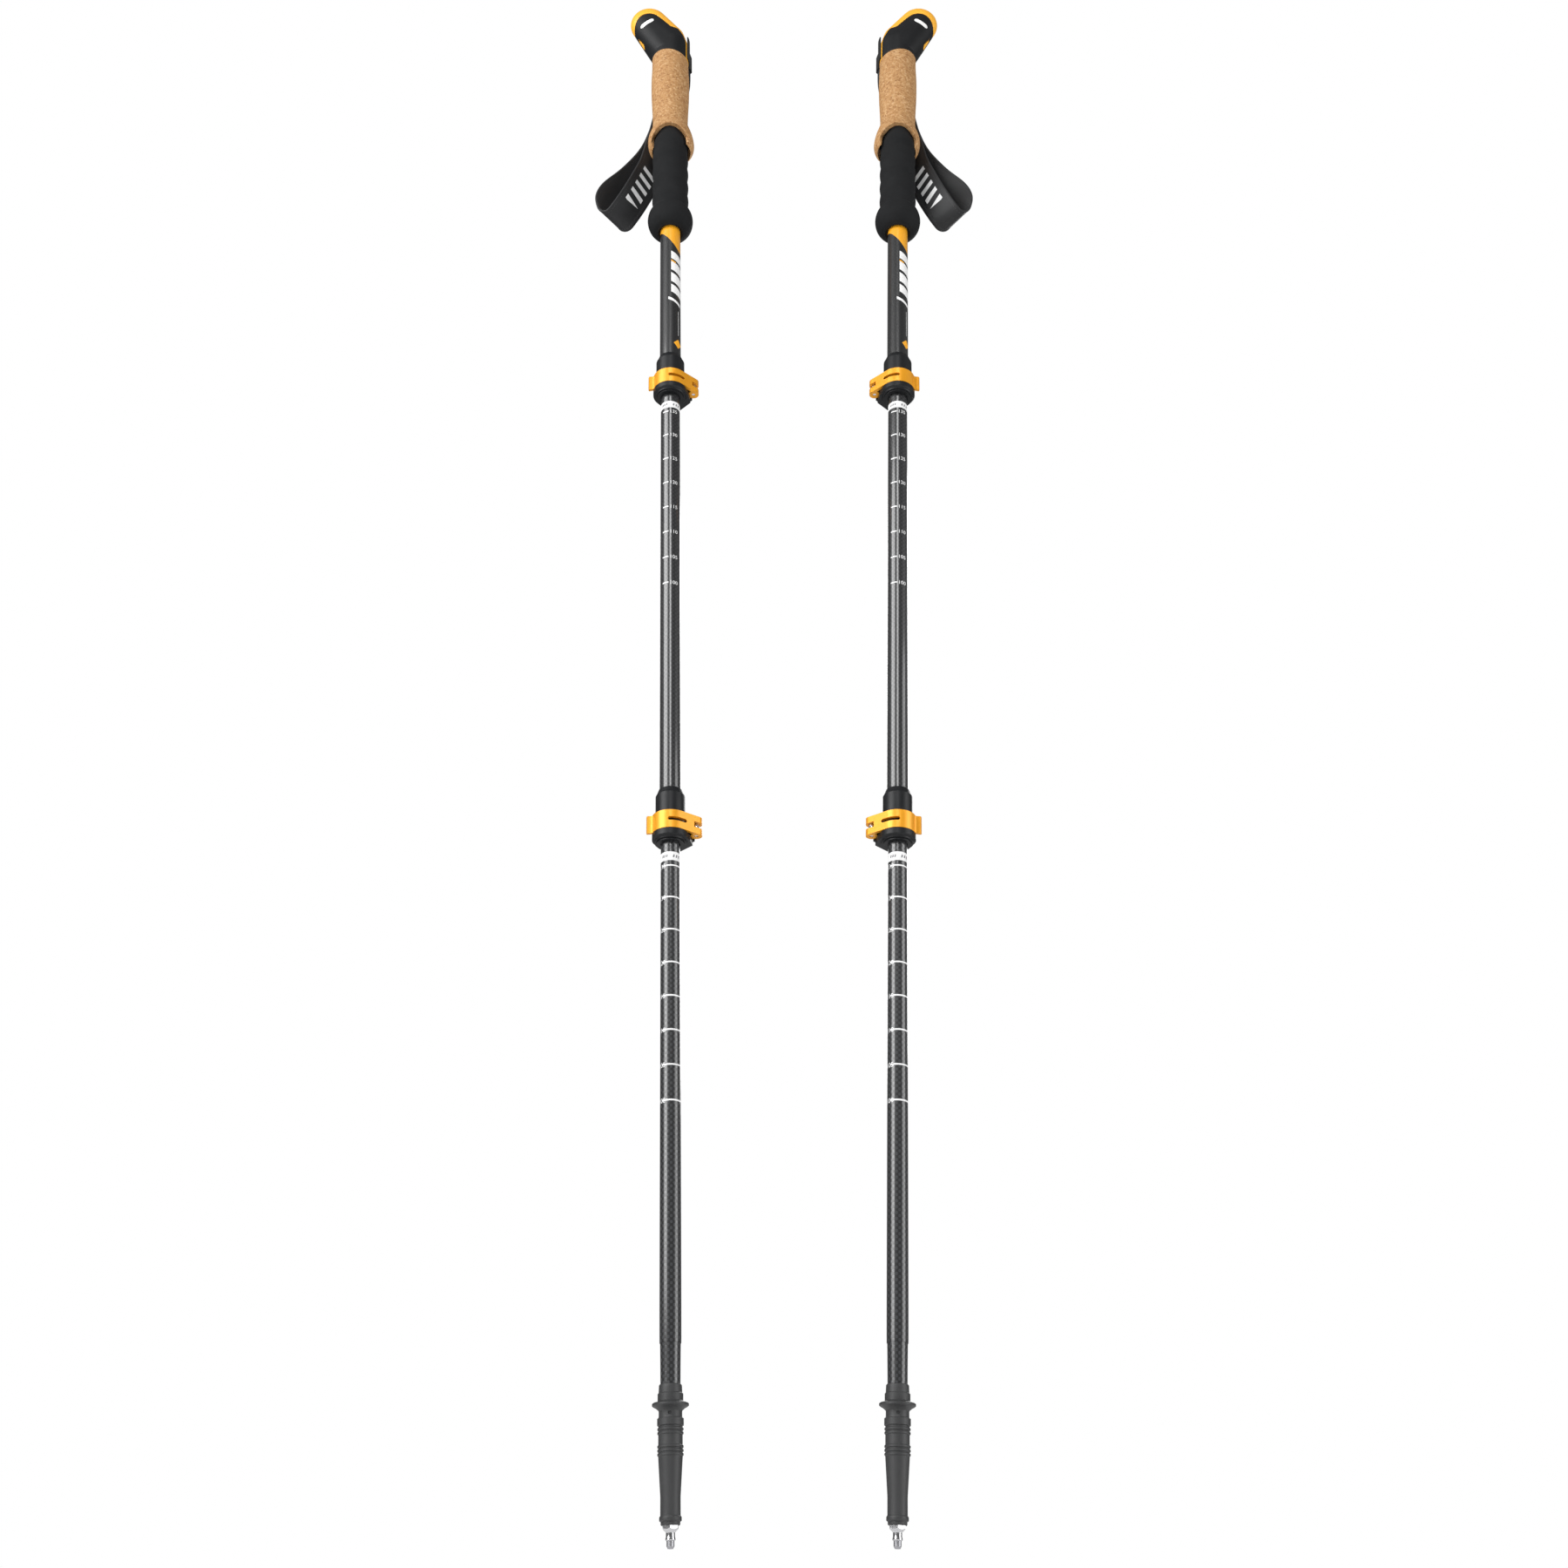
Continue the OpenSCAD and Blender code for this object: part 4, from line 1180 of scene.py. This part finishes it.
@dataclass
class Head:
    """The head: an orange rubber cap round black cheeks, with a pale slanted inlay."""

    sizes: PoleSizes
    head_r: float = 17.6
    nose_x: float = -20.3
    nose_up: float = 45.4
    nose_r: float = 18.6
    bar_h: float = 4.4
    bar_len: float = 14.0
    bar_lean: float = math.radians(26.0)
    socket_r: float = 9.2
    pocket_turn: float = math.radians(75.0)
    joint_lean: float = math.radians(8.0)
    strap_w: float = 28.0

    def form(self) -> bpy.types.Object:
        """The whole head in one soft shape, cut off on its slanted joint."""
        z = self.sizes.head_z
        balls = (
            (Vector((self.nose_x, 0, z + self.nose_up)), self.nose_r, 0.76),
            (Vector((-14.2, 0, z + 15)), 9.4, 1.2),
            (Vector((3.6, 0, z + 24)), 10.6, 1.2),
        )
        bm = bmesh.new()
        for centre, radius, wide in balls:
            matrix = Matrix.Translation(centre) @ Matrix.Diagonal((radius, radius * wide, radius, 1))
            bmesh.ops.create_uvsphere(bm, u_segments=64, v_segments=40, radius=1.0, matrix=matrix)
        for height in (z - 4, z + 12):
            bmesh.ops.create_circle(bm, segments=96, radius=self.head_r,
                                    matrix=Matrix.Translation((0, 0, height)))
        hull = bmesh.ops.convex_hull(bm, input=bm.verts)
        loose = [v for v in hull["geom_interior"] if isinstance(v, bmesh.types.BMVert)]
        bmesh.ops.delete(bm, geom=loose, context="VERTS")
        bmesh.ops.delete(bm, geom=[f for f in bm.faces if not f.is_valid], context="FACES")
        bmesh.ops.recalc_face_normals(bm, faces=bm.faces)
        form = Shop.rough("head_form", bm)
        Shop.soften(form, 0.8, 14)
        base = Shop.rough("base", Shop.rod(self.head_r - 0.05, z - 24, z + 2, 96))
        Shop.cut(form, base, "UNION")
        bpy.data.objects.remove(base)
        lean = Matrix.Translation((0, 0, z - 10)) @ Matrix.Rotation(self.joint_lean, 4, "Y")
        below = Shop.rough("below", Shop.box(Vector((-90, -90, -90)), Vector((90, 90, 0.05)), lean))
        Shop.cut(form, below, "DIFFERENCE")
        bpy.data.objects.remove(below)
        return form

    def cheek(self, grow: float) -> bpy.types.Object:
        """The cheeks' outline as a cutter, grown a little all round."""
        z = self.sizes.head_z
        radius = 13.8 + grow
        arc = [(self.nose_x - 0.5 + radius * math.cos(math.radians(a)),
                32.3 + radius * math.sin(math.radians(a))) for a in range(44, 183, 6)]
        g = grow
        corners = [(-34.4 - g, 31), (-30.2 - g, 24), (-24.8 - g, 13), (-24.8 - g, -30), (15.4 + g, -30),
                   (15.4 + g, 9), (13.6 + g, 18 + g), (8 + g, 27.4 + g), (1.3, 27 + g)]
        outline = arc + corners[:1] + rounded(corners, 2.2)[6:-6] + corners[-1:]
        return Shop.rough("cheek", Shop.prism([(x, z + up) for x, up in outline], 40.0))

    def bar(self, grow: float) -> bpy.types.Object:
        """The inlay's slanted, round-ended bar as a cutter."""
        half, radius = (self.bar_len - self.bar_h) / 2, self.bar_h / 2 + grow
        ends = [(side, math.radians(a)) for side, start in ((1, -90), (-1, 90))
                for a in range(start, start + 181, 15)]
        flat = [(side * half + radius * math.cos(a), radius * math.sin(a)) for side, a in ends]
        c, s = math.cos(self.bar_lean), math.sin(self.bar_lean)
        outline = [(-21.9 + x * c - y * s, self.sizes.head_z + 33 + x * s + y * c) for x, y in flat]
        return Shop.rough("bar", Shop.prism(outline, 40.0))

    def hollow(self) -> bpy.types.Object:
        """The tube's socket as a cutter."""
        z = self.sizes.head_z
        return Shop.rough("socket", Shop.rod(self.socket_r, z - 40, z + 10.4, 48))

    def pocket(self) -> bpy.types.Object:
        """The strap's pocket as a cutter."""
        z, half = self.sizes.head_z, self.strap_w / 2 + 1.2
        turn = Matrix.Rotation(self.pocket_turn, 4, "Z")
        low, high = Vector((13.2, -half, z - 40)), Vector((28, half, z + 19.2))
        return Shop.rough("pocket", Shop.box(low, high, turn))

    def build(self, stances: Sequence[Stance]) -> None:
        """Makes the heads of all poles."""
        form = self.form()
        tools = {"socket": self.hollow(), "pocket": self.pocket()}
        cap = form.copy()
        shell = form.copy()
        inlay = form.copy()
        for part in (cap, shell, inlay):
            part.data = part.data.copy()
            bpy.context.scene.collection.objects.link(part)
        grown, exact, bar = self.cheek(0.12), self.cheek(-0.12), self.bar(0.0)
        shell.data.transform(Matrix.Diagonal((1.0, 0.986, 1.0, 1.0)))
        Shop.cut(cap, grown, "DIFFERENCE")
        Shop.cut(shell, exact, "INTERSECT")
        for part in (cap, shell):
            for tool in tools.values():
                Shop.cut(part, tool, "DIFFERENCE")
        Shop.cut(shell, bar, "DIFFERENCE")
        inlay.data.transform(Matrix.Diagonal((1.0, 0.972, 1.0, 1.0)))
        Shop.cut(inlay, bar, "INTERSECT")
        Shop.soften(cap, 0.42, 2)
        Shop.soften(shell, 0.42, 2)
        parts = (
            (cap, "rubber_cap", "head_cap", ORANGE_RUBBER, "orange_rubber"),
            (shell, "black_cheeks", "head_shell", BLACK_RUBBER, "black_plastic"),
            (inlay, "cheek_inlay", "head_inlay", INLAY, "pale_inlay"),
        )
        for source, part, node, finish, slot in parts:
            mesh = Shop.settle(source)
            for stance in stances:
                piece = Shop.stand(mesh, stance, Hand.MIRRORED, part, "upper", [finish], slot, 50.0)
                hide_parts(stance.name(node))
        for scratch in (form, grown, exact, bar, *tools.values()):
            bpy.data.objects.remove(scratch)


@dataclass
class Strap:
    """The wrist strap: one length of webbing, both ends held in the head, hanging in a loop."""

    sizes: PoleSizes
    width: float = 28.0
    thickness: float = 2.2
    steps: int = 8
    # height above the cork's foot, direction round the pole, distance out, shift along the width, tilt
    down: tuple = (
        (141, 75, 16.9, 0, 0), (125, 75, 17, 0, 0), (106, 80, 20.4, 0, 0), (84, 92, 20.6, 0, 6),
        (50, 110, 20.9, 1, 14), (16, 126, 23.4, 0, 20), (-10, 128, 23.6, -5, 20),
        (-36, 128, 23.6, -14, 20), (-60, 128, 24.2, -23, 20))
    turn: tuple = ((-78, 128, 29, -30, 20), (-85, 129, 37, -33, 20), (-80, 132, 45.6, -35, 20))
    up: tuple = (
        (-64, 136, 50, -34, 20), (-42, 137, 50, -25, 20), (-16, 133, 40.4, -12, 20),
        (10, 128, 28.4, -2, 20), (46, 111, 24.2, 1, 14), (84, 92, 23.8, 0, 6), (106, 80, 23.6, 0, 0),
        (125, 75, 20.2, 0, 0), (141, 75, 20.1, 0, 0))

    def stations(self) -> list[tuple[Vector, Vector, Vector]]:
        """Middle, width direction and face direction at each station of the webbing."""
        spots = []
        for height, turn, out, shift, tilt in smooth(self.down + self.turn + self.up, self.steps):
            c, s = math.cos(math.radians(turn)), math.sin(math.radians(turn))
            middle = Vector((out * c + shift * s, out * s - shift * c, self.sizes.cork_z + height))
            lean = math.radians(tilt)
            spots.append((middle, Vector((s * math.cos(lean), -c * math.cos(lean), -math.sin(lean)))))
        line = []
        for i, (middle, across) in enumerate(spots):
            along = spots[min(i + 1, len(spots) - 1)][0] - spots[max(i - 1, 0)][0]
            line.append((middle, across, along.cross(across).normalized()))
        return line

    def section(self) -> list[Point]:
        """Outline of the webbing across: flat faces, thick selvedges and round edges."""
        half, thick = self.width / 2, self.thickness / 2
        top = [(-half, 0.0), (-half + 0.25, 0.62), (-half + 0.8, 0.93), (-half + 1.7, 1.0),
               (-half + 2.6, 0.84),
               (-half + 5, 0.80), (-half + 9, 0.80), (0.0, 0.80)]
        top = top + [(-x, y) for x, y in reversed(top[:-1])]
        return [(x, y * thick) for x, y in top] + [(x, -y * thick) for x, y in reversed(top[1:-1])]

    def tape(self, line: list[tuple[Vector, Vector, Vector]]) -> bpy.types.Mesh:
        """The webbing's skin, mapped in metres along and across; the outer face has a slot of its own."""
        section = self.section()
        rings = [[m + a * x + f * y for x, y in section] for m, a, f in line]
        bm = Shop.stack(rings, joined=False)
        layer = bm.loops.layers.uv.verify()
        bm.verts.ensure_lookup_table()
        lengths = [0.0]
        for (a, _, _), (b, _, _) in zip(line, line[1:]):
            lengths.append(lengths[-1] + (b - a).length * MM)
        count = len(section)
        for face in bm.faces:
            rows = [loop.vert.index // count for loop in face.loops]
            sides = [section[loop.vert.index % count] for loop in face.loops]
            for loop, row, (x, _) in zip(face.loops, rows, sides):
                loop[layer].uv = (lengths[row], x * MM)
            middle_y = sum(y for _, y in sides) / len(sides)
            face.material_index = 1 if middle_y > 0.3 and len(face.verts) == 4 else 0
        LOG.info("strap: %.1f mm long", lengths[-1] / MM)
        return Shop.settle(Shop.rough("tape", bm))

    def seams(self, line: list[tuple[Vector, Vector, Vector]]) -> bpy.types.Mesh:
        """Stitches along both edges of both faces."""
        bm = bmesh.new()
        for side in (-1, 1):
            for face in (-1, 1):
                row = [bm.verts.new(m + a * side * (self.width / 2 - 3.3) + f * face * self.thickness * 0.40)
                       for m, a, f in line]
                for start, end in zip(row, row[1:]):
                    bm.edges.new((start, end))
        return Seam().run(bm, {"Spacing": 2.6, "Stitch": 1.7, "Thread": 0.34, "Finish": THREAD.make()})

    def build(self, stances: Sequence[Stance]) -> None:
        """Makes the straps of all poles."""
        line = self.stations()
        tape, seams = self.tape(line), self.seams(line)
        for stance in stances:
            piece = Shop.stand(tape, stance, Hand.MIRRORED, "wrist_strap", "upper",
                               [PLAIN_TAPE, PRINTED_TAPE], "webbing", 60.0)
            stitches = Shop.stand(seams, stance, Hand.MIRRORED, "strap_stitches", "upper", [THREAD],
                                  "webbing", 60.0)
            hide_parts(stance.name("strap"))
            stance.name("strap_wedge")


class CastParts:
    """Hard parts whose CAD shape is right: they get broken edges where light should catch them."""

    ROUNDED = {
        "upper_clamp": ("upper", 0.35, LOCK_PLASTIC, "black_plastic"),
        "lower_clamp": ("mid", 0.35, LOCK_PLASTIC, "black_plastic"),
        "upper_lever": ("upper_lever", 0.45, ORANGE_METAL, "orange_metal"),
        "lower_lever": ("lower_lever", 0.45, ORANGE_METAL, "orange_metal"),
        "tip_holder": ("lower", 0.15, STEEL, "steel"),
        "ferrule": ("lower", 0.18, TIP_PLASTIC, "black_plastic"),
    }
    KEPT = {
        "tail_tab": DARK_TRIM, "strap_wedge": DARK_TRIM, "upper_barrel_pin": STEEL, "upper_screw": STEEL,
        "upper_nut": LOCK_PLASTIC, "mid_bush": DARK_TRIM, "lower_barrel_pin": STEEL, "lower_screw": STEEL,
        "lower_nut": LOCK_PLASTIC, "lower_bush": DARK_TRIM, "carbide_tip": CARBIDE,
    }

    def round_copy(self, node: str, width: float) -> bpy.types.Mesh:
        """Copies a CAD node's mesh, merges it and breaks its sharp edges.

        Args:
            node: The node's name.
            width: How wide the broken edge is, in millimetres.

        Returns:
            The mesh, in metres, in place.
        """
        bm = bmesh.new()
        bm.from_mesh(frame["nodes"][node].data)
        bmesh.ops.remove_doubles(bm, verts=bm.verts, dist=2e-6)
        bmesh.ops.dissolve_limit(bm, angle_limit=math.radians(0.6), verts=bm.verts, edges=bm.edges)
        obj = Shop.rough(f"{node}_copy", bm)
        obj.data.shade_smooth()
        bevel = obj.modifiers.new("edge", "BEVEL")
        bevel.width = width * MM
        bevel.segments = 2
        bevel.limit_method = "ANGLE"
        bevel.angle_limit = math.radians(38.0)
        bevel.use_clamp_overlap = True
        obj.modifiers.new("flats", "WEIGHTED_NORMAL").weight = 100
        return Shop.settle(obj)

    def build(self, stance: Stance) -> None:
        """Dresses the hard parts of one pole."""
        for part, (body, width, finish, slot) in self.ROUNDED.items():
            node = stance.name(part)
            mesh = self.round_copy(node, width)
            mesh.name = f"{node}_piece"
            mesh.materials.clear()
            mesh.materials.append(finish.make())
            piece = bpy.data.objects.new(mesh.name, mesh)
            bpy.context.scene.collection.objects.link(piece)
            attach(piece, stance.name(body))
            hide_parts(node)
            LOG.info("%s: %d faces", piece.name, len(mesh.polygons))
        for part, finish in self.KEPT.items():
            for slot in frame["nodes"][stance.name(part)].material_slots:
                slot.material = finish.make()


# ---------------------------------------------------------------- studio


@dataclass
class Studio:
    """Camera, lamps, pale floor and white surroundings."""

    camera_back: float = 1.1077
    camera_z: float = -0.077
    camera_lean: float = math.radians(118.4)
    lens: float = 38.7
    floor_z: float = -0.13

    def camera(self) -> None:
        """Sets the camera low in front of the pair, looking up."""
        data = bpy.data.cameras.new("camera")
        data.lens = self.lens
        data.sensor_width = 36.0
        data.clip_start = 0.01
        eye = bpy.data.objects.new("camera", data)
        eye.location = (0.0, -self.camera_back, self.camera_z)
        eye.rotation_euler = (self.camera_lean, 0.0, 0.0)
        bpy.context.scene.collection.objects.link(eye)
        bpy.context.scene.camera = eye

    def lamp(self, name: str, spot: Vector, aim: Vector, size: Point, power: float) -> None:
        """Adds a soft box that faces a point.

        Args:
            name: The lamp's name.
            spot: Where it stands.
            aim: What it faces.
            size: Its width and height.
            power: Its power in watts.
        """
        data = bpy.data.lights.new(name, "AREA")
        data.shape = "RECTANGLE"
        data.size, data.size_y = size
        data.energy = power
        lamp = bpy.data.objects.new(name, data)
        lamp.location = spot
        lamp.rotation_euler = (aim - spot).to_track_quat("-Z", "Y").to_euler()
        bpy.context.scene.collection.objects.link(lamp)

    def surroundings(self) -> None:
        """A white background, and a dimmer even light from all round."""
        world = bpy.data.worlds.new("surroundings")
        world.use_nodes = True
        graph = Graph(world.node_tree)
        seen = graph.add("ShaderNodeLightPath", out="Is Camera Ray")
        strength = graph.blend(seen, 0.14, 1.0)
        glow = graph.add("ShaderNodeBackground", inputs={"Color": tint(1.0, 1.0, 1.0), "Strength": strength})
        graph.node("ShaderNodeOutputWorld", inputs={"Surface": glow})
        bpy.context.scene.world = world

    def floor(self) -> None:
        """A plain pale floor below the tips."""
        bm = bmesh.new()
        bmesh.ops.create_grid(bm, x_segments=8, y_segments=8, size=4.0)
        bmesh.ops.translate(bm, verts=bm.verts, vec=(0.0, 0.0, self.floor_z))
        floor = Shop.rough("floor", bm)
        paper = Moulded("floor_paper", colour=tint(0.86, 0.86, 0.86), drift=0.01, rough=0.8, cloud=3.0)
        floor.data.materials.append(paper.make())

    def build(self) -> None:
        """Makes the studio."""
        bpy.context.scene.view_settings.view_transform = "Standard"
        self.camera()
        middle = Vector((0.0, 0.0, 0.7))
        self.lamp("key", Vector((-1.7, -1.3, 1.5)), middle, (1.5, 2.0), 62.0)
        self.lamp("fill", Vector((1.9, -0.7, 0.8)), middle, (1.2, 2.0), 26.0)
        self.lamp("front", Vector((0.0, -2.4, 2.3)), middle, (0.7, 1.2), 22.0)
        self.lamp("back", Vector((0.4, 1.9, 1.6)), middle, (1.6, 1.2), 26.0)
        self.surroundings()
        self.floor()


def main() -> None:
    """Builds the studio and then both poles, sub-assembly by sub-assembly."""
    logging.basicConfig(level=logging.INFO, format="%(message)s")
    Studio().build()
    sizes = PoleSizes()
    stances = [Stance(side) for side in Side]
    Strap(sizes).build(stances)
    Grip(sizes).build(stances)
    Head(sizes).build(stances)
    for stance in stances:
        Tubes(sizes).build(stance)
        Prints(sizes).build(stance)
        CastParts().build(stance)


if __name__ == "__main__":
    main()
